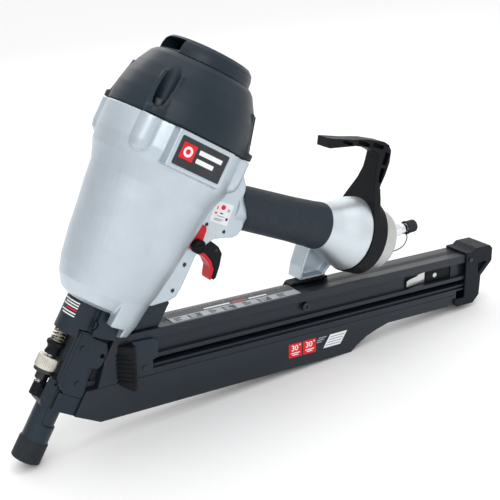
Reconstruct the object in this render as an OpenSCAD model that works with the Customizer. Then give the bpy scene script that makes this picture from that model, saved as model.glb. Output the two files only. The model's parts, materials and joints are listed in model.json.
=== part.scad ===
// Pneumatic framing nailer for 30 degree clipped-head strip nails.
// It stands on the rim of its nose tip and on the heel of its magazine.
//
// Three frames are used, all in millimetres:
//   tool frame      +Z up the driver axis from the mouth of the no-mar tip, +X rearward
//   magazine frame  the tool frame turned so that +X runs along the magazine
//   handle frame    +X along the handle axis towards the air plug
// place() leans the tool frame back onto its two feet and centres it on the origin.

/* [Barrel] */
// Radius of the barrel at the cap seam
barrel_r = 67; // [64:0.5:67]
// Height of the cap seam above the nose tip
seam_z = 330; // [328:1:330]
// Casting wall thickness
wall = 4; // [3:0.5:5]
// Bolt circle radius of the cap
cap_bolt_circle_r = 62; // [61:0.5:63]
// Angle of the cap bolts from the fore and aft line
cap_bolt_angle = 40; // [38:1:42]

/* [Drive] */
// Bore radius of the cylinder sleeve
cylinder_r = 27; // [26:0.5:27.5]
// Stroke of the piston and driver blade
stroke = 106; // [100:1:106]
// Radius of the driver blade
blade_r = 3.6; // [3:0.1:3.8]
// Lift of the head valve
valve_lift = 4; // [3:0.5:4]

/* [Handle] */
// Tilt of the handle axis, rising rearward
handle_tilt = 9.4; // [9:0.1:10]
// Radius of the grip at its front end
grip_front_r = 21.6; // [21:0.1:22]
// Radius of the grip at its rear end
grip_rear_r = 24.4; // [24:0.1:25]
// Radius of the bulb at the rear of the handle
bulb_r = 38.5; // [38:0.1:39]

/* [Magazine] */
// Angle of the magazine above square to the driver
magazine_angle = 30; // [30:1:30]
// Width of the magazine
magazine_w = 31; // [30:0.5:32]
// Height of the magazine top plane in the magazine frame
magazine_top = 104.3; // [104:0.1:104.5]
// Distance along the magazine to the front edge of its end cap
magazine_end = 521; // [510:1:521]
// Width of the nail channel
channel_w = 9.2; // [8.6:0.1:9.6]
// Travel of the pusher
pusher_travel = 300; // [200:10:300]

/* [Nose] */
// Outer radius of the no-mar tip
tip_r = 13.9; // [13.6:0.1:14.2]
// Height of the no-mar tip
tip_h = 20.5; // [18:0.5:21]
// Travel of the contact arm
contact_travel = 11; // [8:1:11]
// Distance of the depth adjuster in front of the driver axis
adjuster_x = -20.6; // [-21:0.1:-20.2]

/* [Hidden] */

$fn = 64;
// Gap between pieces that touch in one body, and running clearance of moving pairs
fit = 0.05;
run = 0.08;

// Stance: the lean brings the heel of the magazine level with the rim of the tip
heel_m = 357.4;
heel_n = 24.3;
heel_x = heel_m * cos(magazine_angle) - heel_n * sin(magazine_angle);
heel_z = heel_m * sin(magazine_angle) + heel_n * cos(magazine_angle);
tip_edge_r = tip_r - 0.8;
lean = atan2(heel_z, heel_x - tip_edge_r);
stand_z = tip_edge_r * sin(lean);
centre_x = 275.16;

// Fixed tube at the front of the nose; its lower end clears the tip at full travel
tube_r = 11.2;
tube_z = contact_travel + 5;
tube_top = 72;

// Cross pin of the contact foot
foot_pin_x = -15.2;
foot_pin_z = 63.4;

// Screws of the nose covers, as [x, z] in the tool frame
cover_screw_points = [[-1, 116], [9, 84]];

// Handle frame origin on the handle axis, in the tool frame
handle_x = 100;
handle_z = 290.3;

// Levels up the driver axis
rim_z = 157;
floor_z = 166;
rib_z = 236;
rib_h = 8;
sleeve_top = 312;
cap_top = 388;
gasket_h = 0.8;
pocket_z = seam_z + 8;
blade_tip_z = 118;
piston_h = 15;
bumper_h = 21.5;
piston_z = floor_z + bumper_h + 0.5 + stroke;
head_valve_top = 344;
spigot_z = head_valve_top + valve_lift + 4;

// Handle stations along the handle axis
grip_a0 = -14;
grip_a1 = 97;
bulb_a = 140;
neck_r = 33;
ring_a0 = 138.6;
ring_a1 = 157.2;
ring_r = 40;
end_a0 = 158;
end_a1 = 180;
end_r = 32;
inlet_a = 169;
inlet_tilt = 24.4;

// Magazine cross-section levels
half_w = magazine_w / 2;
lip_h = 8.9;
rail_bottom = 63;
cover_bottom = 24.3;
tail_bottom = 46.7;
slot_n0 = 69.5;
slot_n1 = 73.5;
rail_front_x = 24;
groove_m = 92;
panel_gap = 0.02;
pusher_m = 103.5;

// Strut between the handle and the magazine
strut_y = 10;

// Trigger pivot in the tool frame
pivot_x = 59.8;
pivot_z = 241.1;
body_w = 30;
arm_w = 23;
lobe_r = 20;
trigger_w = 17;
trigger_slot_w = 19;
valve_a = -27;

silver = "#c3cad1";
charcoal = "#353c44";
black = "#1d1f22";
steel = "#b9bcc0";
crimson = "#c8202e";

// ---------- frames ----------

module place() {
  translate([-centre_x, 0, stand_z]) rotate([0, lean, 0]) children();
}

module mag_frame() {
  rotate([0, -magazine_angle, 0]) children();
}

module handle_frame() {
  translate([handle_x, 0, handle_z]) rotate([0, -handle_tilt, 0]) children();
}

// Revolves a 2D profile of [radius, station] about the handle axis
module about_handle() {
  handle_frame() rotate([0, 90, 0]) rotate_extrude() children();
}

// Extrudes an outline drawn in X and Z to a width centred on Y
module slab(w) {
  rotate([90, 0, 0]) linear_extrude(height = w, center = true) children();
}

// Extrudes an outline drawn in X and Z between two Y stations
module slab_between(y0, y1) {
  translate([0, (y0 + y1) / 2, 0]) slab(abs(y1 - y0)) children();
}

module tube(r, bore, h) {
  difference() {
    cylinder(r = r, h = h);
    translate([0, 0, -1]) cylinder(r = bore, h = h + 2);
  }
}

// Puts children at the four cap bolts
module at_cap_bolts() {
  for (side = [0, 180], turn = [-1, 1])
    rotate([0, 0, side + turn * cap_bolt_angle]) translate([cap_bolt_circle_r, 0, 0]) children();
}

// A coil spring of round wire as a swept tube, standing on z = 0
module coil(r, wire_r, h, turns, steps = 14, sides = 6) {
  count = turns * steps;
  points = [for (i = [0:count], j = [0:sides - 1])
    let (a = 360 * turns * i / count, b = 360 * j / sides)
    [(r + wire_r * cos(b)) * cos(a), (r + wire_r * cos(b)) * sin(a), h * i / count + wire_r * sin(b)]];
  walls = [for (i = [0:count - 1], j = [0:sides - 1])
    let (k = (j + 1) % sides)
    [i * sides + j, i * sides + k, (i + 1) * sides + k, (i + 1) * sides + j]];
  ends = [[for (j = [sides - 1:-1:0]) j], [for (j = [0:sides - 1]) count * sides + j]];
  polyhedron(points = points, faces = concat(walls, ends), convexity = 8);
}

// ---------- housing ----------

// Outline of the barrel as [radius, height], from the bottom rim to the cap seam
function barrel_profile(t) = [
  [30.5 - t, rim_z], [36.5 - t, 160.5], [43.6 - t, 172], [47.6 - t, 186], [51.6 - t, 211],
  [54 - t, 235], [57 - t, 257], [58.5 - t, 274], [61.5 - t, 283], [barrel_r - 2 - t, 292],
  [barrel_r - t, 306], [barrel_r - t, seam_z - gasket_h]
];

module barrel_solid() {
  rotate_extrude() polygon(concat([[0, rim_z]], barrel_profile(0), [[0, seam_z - gasket_h]]));
}

// Rear skirt of the barrel that reaches down beside the nose in two steps
module barrel_skirt() {
  intersection() {
    rotate_extrude() polygon([[30.5, 137.5], [38, 140], [41.5, 152], [44, 172], [30.5, 172]]);
    union() {
      translate([0, -50, 147.5]) cube([60, 100, 30]);
      translate([17, -50, 137]) cube([43, 100, 30]);
    }
    // Clear of the arm of the nose and of the magazine
    difference() {
      translate([-50, -50, 130]) cube([100, 100, 50]);
      translate([0, -arm_w / 2 - fit, 120]) cube([80, arm_w + 2 * fit, 60]);
      mag_frame() translate([-20, -30, 20]) cube([600, 60, magazine_top - 20 + 2 * fit]);
    }
  }
}

module housing_lugs() {
  at_cap_bolts() rotate_extrude()
    polygon([[0, 295], [5.5, 296.5], [9.5, 300.5], [11, 306.4], [11, seam_z - gasket_h], [0, seam_z - gasket_h]]);
}

module flange_outline() {
  polygon([[30, 172.6], [45, 172.6], [60.5, 183], [65.6, 189.2], [67, 197], [66.6, 231.5],
    [70.8, 243], [77, 252.4], [77, 300], [30, 300]]);
}

module root_outline() {
  polygon([[54, 250], [70.8, 243], [77, 252.4], [88.5, 257.9], [96, 260.8], [100, 265], [101.6, 271],
    [101.4, 277], [99.4, 283], [94, 289.5], [88.6, 297], [87, 306], [85, 311], [77, 320], [70, 326], [54, 326]]);
}

module bulb_profile() {
  difference() {
    union() {
      translate([0, bulb_a]) circle(r = bulb_r);
      polygon([[0, grip_a0], [18.5, grip_a0], [18.5, grip_a1], [24, grip_a1 + fit],
        [26.5, 106], [30.5, 115], [0, 120]]);
      translate([0, ring_a0 - fit]) square([neck_r, end_a0 - ring_a0]);
    }
    translate([-60, -20]) square([60, 220]);
    translate([neck_r, ring_a0 - fit]) square([20, 60]);
    translate([0, end_a0 - 0.4]) square([50, 60]);
  }
}

// Strut that ties the handle to the magazine, drawn in the tool frame
module strut_outline() {
  polygon([[203, 306], [205.5, 276.4], [208.5, 260], [213.4, 246.9], [239.6, 262],
    [240.6, 269], [244, 279], [250, 300]]);
}

module strut() {
  difference() {
    slab_between(strut_y, strut_y + 23) strut_outline();
    slab_between(strut_y - 1, strut_y + 9)
      polygon([[209, 279], [211.8, 261], [215.4, 251.2], [236.8, 263.6], [237.8, 270], [241, 281], [236, 288],
        [212, 288]]);
  }
}

module housing() {
  color(silver) difference() {
    union() {
      barrel_solid();
      barrel_skirt();
      housing_lugs();
      slab(body_w) flange_outline();
      slab(body_w) root_outline();
      about_handle() bulb_profile();
      difference() {
        strut();
        handle_frame() translate([ring_a0 - 1.2, -40, -60]) cube([60, 80, 60]);
      }
      for (side = [-1, 1])
        slab_between(side * 68.8, side * 50) translate([-34.5, 295.5]) square([59, 33.6]);
    }
    // Air chamber round the sleeve, above and below the rib
    rotate_extrude() polygon([[0, rib_z + rib_h], [53 - wall + 2, rib_z + rib_h], [57.4 - wall, 262],
      [58.5 - wall, 276], [barrel_r - wall - 8, 290], [barrel_r - wall - 8, seam_z + 1], [0, seam_z + 1]]);
    rotate_extrude() polygon([[0, 180], [45.6 - wall, 180], [51 - wall, 211],
      [53.6 - wall, rib_z], [0, rib_z]]);
    translate([0, 0, floor_z]) cylinder(r = cylinder_r + 3 + fit, h = 90);
    translate([0, 0, rim_z - 30]) cylinder(r = 16, h = 60);
    // Reservoir down the handle into the bulb
    handle_frame() rotate([0, 90, 0]) translate([0, 0, -60]) cylinder(r = 14, h = 230);
    handle_frame() intersection() {
      translate([bulb_a, 0, 0]) sphere(r = bulb_r - wall);
      translate([90, -50, -50]) cube([bulb_a - wall - 90, 100, 100]);
    }
    handle_frame() rotate([0, 90, 0]) translate([0, 0, bulb_a]) cylinder(r = 24, h = 40);
    at_cap_bolts() translate([0, 0, 308]) cylinder(r = 3, h = 40);
    // Trigger pocket, pivot bore and valve bore
    slab(trigger_slot_w) polygon([[50, 228], [72, 228], [110, 225], [110, 250], [99, 262],
      [70, 257], [50, 257]]);
    translate([pivot_x, -40, pivot_z]) rotate([-90, 0, 0]) cylinder(r = 3 + run, h = 80);
    handle_frame() translate([valve_a, 0, -34]) cylinder(r = 8 + fit, h = 26);
    for (x = [63.1, 84.2])
      translate([x, -40, 262.6]) rotate([-90, 0, 0]) cylinder(r = 1.6 + fit, h = 80);
    for (z = [220, 193.4])
      translate([59.6, -40, z]) rotate([-90, 0, 0]) cylinder(r = 1.9, h = 80);
    // Tapped holes for the nose bolts
    at_nose_bolts() translate([0, 0, 20]) cylinder(r = 2.5 + fit, h = 16);
    // Recesses of the nameplates
    for (side = [-1, 1])
      slab_between(side * 70, side * 68) translate([-30.2, 299.4]) square([50.6, 25.8]);
  }
}

module handle_grip() {
  color(black) about_handle() difference() {
    polygon([[18.5 + fit, grip_a0 + 3], [grip_front_r - 0.6, grip_a0 + 3], [grip_front_r, 4], [22.4, 60],
      [23.6, 86], [grip_rear_r, 94], [24, grip_a1], [18.5 + fit, grip_a1]]);
  }
}

module grip_clear() {
  slab(60) root_outline();
  cylinder(r = barrel_r + 2, h = 340);
}

module nameplate() {
  color(black) for (side = [-1, 1])
    slab_between(side * 69.2, side * (68 + fit)) translate([-30, 299.6]) square([50.2, 25.4]);
}

module mode_label() {
  color("white") translate([72.6, 0, 277.8]) rotate([0, 4.8, 0])
    slab_between(-body_w / 2 - 0.35, -body_w / 2 - 0.02) square(20.6, center = true);
}

// ---------- cap and exhaust ----------

module cap_profile(t) {
  polygon([[0, seam_z], [barrel_r - t, seam_z], [66.6 - t, 338], [65.4 - t, 348], [62.2 - t, 360],
    [57 - t, 372.5], [50.5 - t, 384], [46.5 - t, cap_top - t], [0, cap_top - t]]);
}

module cap() {
  color(charcoal) difference() {
    union() {
      rotate_extrude() cap_profile(0);
      at_cap_bolts() translate([0, 0, seam_z]) cylinder(r = 11, h = 6.5);
      // Shoulders beside the bolt pockets follow the dome
      intersection() {
        at_cap_bolts() translate([0, 0, seam_z + 3]) cylinder(r = 10.2, h = 40);
        translate([0, 0, seam_z]) cylinder(r1 = 70.5, r2 = 60.5, h = 40);
      }
    }
    // Inside of the dome, with the spring spigot left standing
    difference() {
      intersection() {
        rotate_extrude() translate([0, -1]) cap_profile(wall);
        translate([0, 0, seam_z - 5]) cylinder(r = 50, h = 80);
      }
      translate([0, 0, spigot_z]) tube(16, 12, 40);
    }
    translate([0, 0, 340]) cylinder(r = 12, h = 60);
    at_cap_bolts() {
      translate([0, 0, 300]) cylinder(r = 3.2, h = 60);
      translate([0, 0, pocket_z]) cylinder(r = 6.8, h = 60);
    }
  }
}

module cap_gasket() {
  color(black) difference() {
    translate([0, 0, seam_z - gasket_h + fit / 2]) cylinder(r = barrel_r - 0.6, h = gasket_h - fit);
    translate([0, 0, 300]) cylinder(r = 56, h = 60);
    at_cap_bolts() translate([0, 0, 300]) cylinder(r = 3.4, h = 60);
  }
}

module cap_bolts() {
  color(black) at_cap_bolts() difference() {
    union() {
      translate([0, 0, 310]) cylinder(r = 2.95, h = pocket_z - 309);
      translate([0, 0, pocket_z + fit]) cylinder(r = 5, h = 6);
    }
    translate([0, 0, pocket_z + 3]) cylinder(r = 2.5, h = 10, $fn = 6);
  }
}

module deflector_outline() {
  intersection() {
    circle(r = 44);
    union() {
      translate([-39.5, -20]) square([90, 40]);
      polygon([[-39.5, -20], [-25, -46], [60, -46], [60, 46], [-25, 46], [-39.5, 20]]);
    }
  }
}

module exhaust_deflector() {
  color(charcoal) difference() {
    intersection() {
      translate([0, 0, cap_top + 0.3]) linear_extrude(height = 17) deflector_outline();
      rotate_extrude() polygon([[0, cap_top], [44, cap_top], [43.4, 395], [42, 400],
        [38.5, 403.4], [20, 405], [0, 405.6]]);
      // The rear of the rim is chamfered down
      slab(100) polygon([[-50, 380], [-50, 410], [10, 410], [31, 404], [42, 397], [45, 380]]);
    }
    // Air space that opens forward
    difference() {
      translate([0, 0, cap_top + 2.6]) linear_extrude(height = 10.4)
        union() {
          circle(r = 30);
          translate([-60, -18]) square([60, 36]);
        }
      cylinder(r = 9, h = 500);
    }
    translate([0, 0, 380]) cylinder(r = 5 + run, h = 40);
    translate([0, 0, 399]) cylinder(r = 8.4, h = 20);
    for (turn = [0:60:300])
      rotate([0, 0, turn + 30]) translate([12, 0, 380]) rotate([0, 0, 0]) cylinder(r = 2.6, h = 12);
  }
}

module deflector_bolt() {
  color(steel) difference() {
    union() {
      translate([0, 0, 372]) cylinder(r = 5, h = 28);
      translate([0, 0, 399 + 0.3]) cylinder(r = 8, h = 4.6);
      // Spider that carries the bolt across the cap port
      translate([0, 0, 374]) intersection() {
        cylinder(r = 12 - fit, h = 6);
        union() for (turn = [0, 60, 120]) rotate([0, 0, turn]) translate([-20, -1.5, 0]) cube([40, 3, 6]);
      }
    }
    translate([0, 0, 401]) cylinder(r = 4, h = 10, $fn = 6);
  }
}

// ---------- drive ----------

module cylinder_sleeve() {
  color(steel) difference() {
    translate([0, 0, floor_z + fit]) cylinder(r = cylinder_r + 3, h = sleeve_top - floor_z - fit);
    cylinder(r = cylinder_r, h = 400);
    for (turn = [0:45:315])
      rotate([0, 0, turn]) translate([0, 0, 198]) rotate([0, 90, 0]) cylinder(r = 2.5, h = 60);
    for (z = [172, rib_z + rib_h / 2]) translate([0, 0, z - 1.2]) tube(cylinder_r + 5, cylinder_r + 1.6, 2.4);
  }
}

module sleeve_seals() {
  color(black) for (z = [172, rib_z + rib_h / 2])
    rotate_extrude() translate([cylinder_r + 1.6 + fit, z - 1.15]) square([1.4, 2.3]);
}

module bumper() {
  color("#7a5a3a") rotate_extrude() difference() {
    polygon([[blade_r + 3, floor_z + fit], [cylinder_r - 0.3, floor_z + fit],
      [cylinder_r - 0.3, floor_z + 8], [cylinder_r - 4, floor_z + bumper_h],
      [blade_r + 5, floor_z + bumper_h], [blade_r + 3, floor_z + 12]]);
  }
}

module piston() {
  color("#9aa0a6") rotate_extrude() difference() {
    polygon([[blade_r + fit, piston_z], [cylinder_r - run, piston_z],
      [cylinder_r - run, piston_z + piston_h], [cylinder_r - 6, piston_z + piston_h],
      [cylinder_r - 9, piston_z + 8], [10, piston_z + 8], [8, piston_z + piston_h + 2],
      [blade_r + fit, piston_z + piston_h + 2]]);
    translate([cylinder_r - 2.2, piston_z + 5]) square([5, 4]);
  }
}

module piston_ring() {
  color(black) rotate_extrude()
    translate([cylinder_r - 2.2 + fit, piston_z + 5 + fit]) square([2.2 - fit - run, 4 - 2 * fit]);
}

module driver_blade() {
  color(steel) {
    translate([0, 0, blade_tip_z]) cylinder(r = blade_r, h = piston_z + piston_h + 2 - blade_tip_z);
    translate([0, 0, piston_z + piston_h + 2 + fit]) cylinder(r = 7.5, h = 3);
    translate([0, 0, piston_z + piston_h]) cylinder(r = blade_r, h = 4);
  }
}

module head_valve() {
  color("#2b2f36") rotate_extrude()
    polygon([[11, sleeve_top + 0.4], [40, sleeve_top + 0.4], [40, sleeve_top + 10], [22, sleeve_top + 10],
      [22, head_valve_top], [20, head_valve_top], [20, sleeve_top + 7], [11, sleeve_top + 4]]);
}

module head_valve_spring() {
  color(steel) translate([0, 0, sleeve_top + 12]) coil(r = 30, wire_r = 1.3, h = 57.4, turns = 5, steps = 18);
}

// ---------- trigger valve, trigger and mode selector ----------

module valve_frame() {
  handle_frame() translate([valve_a, 0, 0]) children();
}

module valve_body() {
  color("#b58a3c") valve_frame() difference() {
    translate([0, 0, -32.5]) cylinder(r = 8, h = 23);
    translate([0, 0, -40]) cylinder(r = 2.5 + run, h = 40);
    translate([0, 0, -28]) cylinder(r = 4.3, h = 16);
    rotate([0, handle_tilt, 0]) for (x = [63.1, 84.2])
      translate([x - handle_x - valve_a * cos(handle_tilt), -40, 262.6 - handle_z - valve_a * sin(handle_tilt)])
        rotate([-90, 0, 0]) cylinder(r = 1.7, h = 80);
  }
}

module valve_stem() {
  color(steel) valve_frame() {
    translate([0, 0, -36.6]) cylinder(r = 2.5, h = 24);
    translate([0, 0, -27]) cylinder(r = 4, h = 2);
  }
}

module valve_spring() {
  color(steel) valve_frame() translate([0, 0, -24.4]) coil(r = 3.4, wire_r = 0.4, h = 11.8, turns = 5, steps = 10);
}

module valve_pins() {
  color(black) for (x = [63.1, 84.2])
    translate([x, -body_w / 2 + 1, 262.6]) rotate([-90, 0, 0]) cylinder(r = 1.6, h = body_w - 2);
}

module trigger_outline() {
  polygon([[54, 244], [57, 247.5], [62, 248.6], [79.7, 249.6], [90, 247.5], [97, 242.6],
    [100.4, 231], [102.3, 219], [100.6, 216.2], [98.6, 216.6], [96.6, 226], [90, 232.5],
    [80, 237], [68, 235.4], [60, 235], [54.5, 238]]);
}

module trigger_body() {
  color(black) difference() {
    slab(trigger_w) trigger_outline();
    // Channel for the lever, open at the top
    slab(trigger_w - 5) polygon([[65, 240], [92.9, 240], [92.9, 260], [65, 260]]);
    translate([pivot_x, -20, pivot_z]) rotate([-90, 0, 0]) cylinder(r = 3 + run, h = 40);
    translate([89.6, -20, 243.4]) rotate([-90, 0, 0]) cylinder(r = 1.5 + fit, h = 40);
  }
}

module trigger_pad() {
  color(crimson) slab(trigger_w - 1) difference() {
    polygon([[68, 235.2 - fit], [80, 236.8 - fit], [89.9, 232.3 - fit], [96.4, 225.9 - fit], [98.4, 216.5],
      [98, 214.4], [96, 216.4], [92.6, 226], [86, 231], [78, 233.4], [71, 233.4]]);
  }
}

module trigger_lever() {
  color(steel) difference() {
    slab(trigger_w - 6) polygon([[69, 246.4], [69, 248.2], [80, 249.3], [90, 247.4], [92.6, 244], [91.4, 241],
      [87.4, 241.4], [86, 245.6], [80, 247.4]]);
    translate([89.6, -20, 243.4]) rotate([-90, 0, 0]) cylinder(r = 1.5 + run, h = 40);
  }
}

module trigger_lever_pin() {
  color(steel) translate([89.6, -trigger_w / 2, 243.4]) rotate([-90, 0, 0]) cylinder(r = 1.5, h = trigger_w);
}

module trigger_pivot() {
  color(steel) translate([pivot_x, -body_w / 2 - 6, pivot_z]) rotate([-90, 0, 0]) cylinder(r = 3, h = body_w + 6);
}

module selector_lever() {
  color(crimson) difference() {
    slab_between(-body_w / 2 - 4.4, -body_w / 2 - 0.4)
      polygon([[54, 239], [54.4, 252], [55.6, 258.6], [57.6, 261.2], [60.6, 261], [62.8, 257.6], [63.6, 250],
        [65.6, 243], [64, 237], [59.8, 235], [56, 236]]);
    translate([pivot_x, -40, pivot_z]) rotate([-90, 0, 0]) cylinder(r = 3 + fit, h = 80);
  }
}

module selector_knob() {
  color(black) translate([pivot_x, -body_w / 2 - 4.5, pivot_z]) rotate([90, 0, 0]) difference() {
    cylinder(r = 6.8, h = 6.6, $fn = 8);
    translate([0, 0, -1]) cylinder(r = 3 + fit, h = 3);
    translate([-6, -1, 5.4]) cube([12, 2, 4]);
  }
}

// ---------- nose ----------

// Positions of the bolts that hold the nose to the housing floor
module at_nose_bolts() {
  for (side = [-1, 1]) translate([6, side * 21, rim_z - 30]) children();
}

module nose_flange() {
  intersection() {
    union() {
      translate([-8, 0, 120]) cylinder(r = lobe_r, h = rim_z - 120 - fit);
      translate([-8, -lobe_r, 120]) cube([34, 2 * lobe_r, rim_z - 120 - fit]);
    }
    slab(54) polygon([[-40, 125.2], [-15, 124], [-15, 132.4], [34, 140], [34, 158], [-40, 158]]);
  }
}

module nose_body() {
  color(charcoal) difference() {
    union() {
      nose_flange();
      // Column round the drive channel, the block at its foot and the side ears
      slab(20) polygon([[-5.6, 54], [-5.6, 76], [-8, 78.4], [-8, 140], [20, 140], [20, 54]]);
      slab(27) polygon([[-4, 53.5], [-4, 71.4], [20, 71.4], [20, 54]]);
      slab(54) polygon([[-5.4, 131.6], [-5.4, rim_z - fit], [20, rim_z - fit], [20, 134]]);
      // Arm back to the magazine under the rear flange
      slab(arm_w) polygon([[18.8, 114], [34, 124.2], [64, 141.6], [64, 182], [60, 182.4], [45, 172.4],
        [44, 172.2], [36.9, 160.3], [30.8, rim_z - 0.4], [30.2, 147], [18.8, 141]]);
    }
    translate([0, 0, 10]) cylinder(r = blade_r + 1.4, h = 200);
    translate([0, 0, 40]) cylinder(r = tube_r + fit, h = tube_top - 40 + fit);
    // Nail slot from the magazine
    slab(channel_w) polygon([[0, 60], [0, 116], [60, 152], [60, 80]]);
    skirt_clear();
    intersection() {
      mag_frame() translate([-20, -30, 20]) cube([600, 60, magazine_top - 20 + fit]);
      translate([20 + fit, -50, 0]) cube([100, 100, 300]);
    }
    at_nose_bolts() {
      translate([0, 0, -10]) cylinder(r = 3, h = 60);
      translate([0, 0, -20]) cylinder(r = 4.8, h = 32);
    }
    translate([adjuster_x, 0, 100]) cylinder(r = 3.4 + run, h = 54);
    at_cover_screws() cylinder(r = 1.5 + fit, h = 12, center = true);
  }
}

module skirt_clear() {
  difference() {
    union() {
      translate([-fit, -60, 147.5 - fit]) cube([70, 120, 30]);
      translate([17 - fit, -60, 137 - fit]) cube([70, 120, 30]);
    }
    cylinder(r = 30.2, h = 200);
    translate([0, -arm_w / 2, 0]) cube([80, arm_w, 200]);
  }
}

module nose_bolts() {
  color(black) at_nose_bolts() difference() {
    union() {
      translate([0, 0, 11]) cylinder(r = 2.5, h = 24);
      translate([0, 0, 6.6]) cylinder(r = 4.5, h = 5.35);
    }
    translate([0, 0, 6]) cylinder(r = 2, h = 3.4, $fn = 6);
  }
}

module nose_tube() {
  color(steel) difference() {
    translate([0, 0, tube_z]) cylinder(r = tube_r, h = tube_top - tube_z);
    cylinder(r = blade_r + 1.4, h = 100);
    slab(channel_w) polygon([[0, 26], [0, 100], [30, 100], [30, 44]]);
  }
}

module cover_outline() {
  polygon([[-14, 129], [-13, 85], [-9, 77.5], [0, 71.6], [18.6, 71.6], [19.6, 74], [19, 80], [5, 127], [1, 131.4],
    [-10, 131.4]]);
}

module nose_covers() {
  color(charcoal) difference() {
    for (side = [-1, 1]) {
      slab_between(side * 12.3, side * 14.4) cover_outline();
      // Standoff behind the plate, clear of the sliding cheeks
      slab_between(side * (10 + fit), side * 12.4) polygon([[-4, 74.8], [2, 72.4], [17, 72.4], [18.4, 82], [5, 127],
        [1, 131.4], [-4, 131.4]]);
      // Raised ear in front of the magazine, with a round hole
      slab_between(side * 12.4, side * 15) difference() {
        polygon([[4, 128.4], [19.4, 127.6], [23.8, 119.4], [23.8, 107], [21.4, 102], [12, 101.2], [9.6, 103]]);
        translate([20.6, 114.9]) circle(r = 2.2);
      }
    }
    at_cover_screws() cylinder(r = 1.5 + fit, h = 60, center = true);
  }
}

module at_cover_screws() {
  for (side = [-1, 1], p = cover_screw_points)
    translate([p[0], side * 10, p[1]]) rotate([90, 0, 0]) children();
}

module cover_screws() {
  color(black) for (side = [-1, 1], p = cover_screw_points)
    translate([p[0], side * 6, p[1]]) rotate([side * -90, 0, 0]) {
      cylinder(r = 1.5, h = 9);
      translate([0, 0, 8.4 + fit]) cylinder(r = 2.6, h = 1.1);
    }
}

// ---------- contact arm and depth adjuster ----------

module at_adjuster(z) {
  translate([adjuster_x, 0, z]) children();
}

module contact_stud() {
  color(steel) at_adjuster(66) cylinder(r = 3.4, h = 72);
}

module adjuster_spool() {
  color(black) at_adjuster(100) rotate_extrude()
    polygon([[3.4 + fit, 0], [7, 0], [6, 5], [8.6, 9.4], [8.6, 12], [7.4, 12.6], [3.4 + fit, 12.6]]);
}

module contact_spring() {
  color("#a8916a") at_adjuster(113.8) coil(r = 6.2, wire_r = 0.75, h = 9.3, turns = 4, steps = 14);
}

module depth_wheel() {
  color("#d8d4c6") at_adjuster(0) difference() {
    union() {
      translate([0, 0, 86]) cylinder(r = 10.4, h = 12);
      translate([0, 0, 82.4]) cylinder(r = 9.6, h = 3.7);
      translate([0, 0, 75.4]) cylinder(r = 5.4, h = 7.1);
    }
    translate([0, 0, 70]) cylinder(r = 3.4 + run, h = 40);
    for (turn = [0:10:350]) rotate([0, 0, turn]) translate([10.4, 0, 85.9]) rotate([0, 0, 45])
      translate([-0.45, -0.45, 0]) cube([0.9, 0.9, 20]);
  }
}

module contact_foot() {
  color(charcoal) difference() {
    union() {
      translate([0, 0, 2.2]) cylinder(r = 12.7, h = 35);
      // Front shell above the step, with a rounded corner at its foot
      difference() {
        translate([0, 0, 30]) cylinder(r = 12.7, h = 30);
        slab(40) {
          translate([-1, 37.2]) square([40, 40]);
          translate([-6.5, 42.7]) square([40, 40]);
          translate([-1, 42.7]) circle(r = 5.5);
        }
      }
      // Bridge and cheeks that reach up to the adjuster
      slab(24) polygon([[-18.4, 61.4], [-15, 55], [-7, 55], [-6, 60.4], [-7, 80], [-10, 81.6], [-18.2, 81.6]]);
    }
    cylinder(r = tube_r + run + 0.1, h = 60);
    slab(21.6) polygon([[-30, 60], [0, 60], [0, 100], [-30, 100]]);
    translate([foot_pin_x, -20, foot_pin_z]) rotate([-90, 0, 0]) cylinder(r = 1.2 + fit, h = 40);
    translate([-9.6, -20, 77]) rotate([-90, 0, 0]) cylinder(r = 1.3, h = 40);
  }
}

module foot_block() {
  color(black) difference() {
    union() {
      translate([-18.6, 0, 60.2]) cylinder(r = 5.9, h = 12.6);
      slab(21.4) polygon([[-18, 60.2], [-13.2, 60.2], [-13.2, 69.5], [-18, 69.5]]);
    }
    at_adjuster(62) cylinder(r = 3.4 + run, h = 20);
    translate([foot_pin_x, -20, foot_pin_z]) rotate([-90, 0, 0]) cylinder(r = 1.2 + fit, h = 40);
  }
}

module foot_pin() {
  color(steel) translate([foot_pin_x, -12.2, foot_pin_z]) rotate([-90, 0, 0]) cylinder(r = 1.2, h = 24.4);
}

module no_mar_tip() {
  color(black) rotate_extrude()
    polygon([[6.4, 0.8], [7.2, 0], [tip_edge_r, 0], [tip_r, 0.8], [tip_r, tip_h], [12.7 + fit, tip_h], [12.7 + fit, 2.2 - fit],
      [6.4, 2.2 - fit]]);
}

// ---------- magazine ----------

// Cross-section of the rail's front end in Y and the magazine frame's Z
module plain_section() {
  difference() {
    translate([-half_w, rail_bottom + fit]) square([magazine_w, magazine_top - rail_bottom - fit]);
    translate([-channel_w / 2, rail_bottom - 1]) square([channel_w, magazine_top - 4 - rail_bottom]);
  }
}

module rail_section() {
  difference() {
    plain_section();
    for (side = [-1, 1]) {
      // Deep channel under the lip, then two narrow grooves
      translate([side > 0 ? 10.5 : -half_w - 1, 79.5]) square([half_w - 9.5, magazine_top - lip_h - 79.5]);
      translate([side > 0 ? 12 : -half_w - 1, slot_n0]) square([half_w - 11, 6.5]);
      translate([side > 0 ? 13 : -half_w - 1, rail_bottom + 2]) square([half_w - 12, 3]);
    }
  }
}

// Extrudes a section along the magazine between two stations
module along_mag(m0, m1) {
  mag_frame() translate([m0, 0, 0]) rotate([90, 0, 90]) linear_extrude(height = m1 - m0) children();
}

// Recess in both sides of the magazine behind the nose covers
module front_recess() {
  for (side = [-1, 1]) slab_between(side * 6.4, side * (half_w + 2))
    polygon([[10, 73], [20, 79], [30, 84.8], [24.9, 109], [10, 109]]);
}

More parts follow.
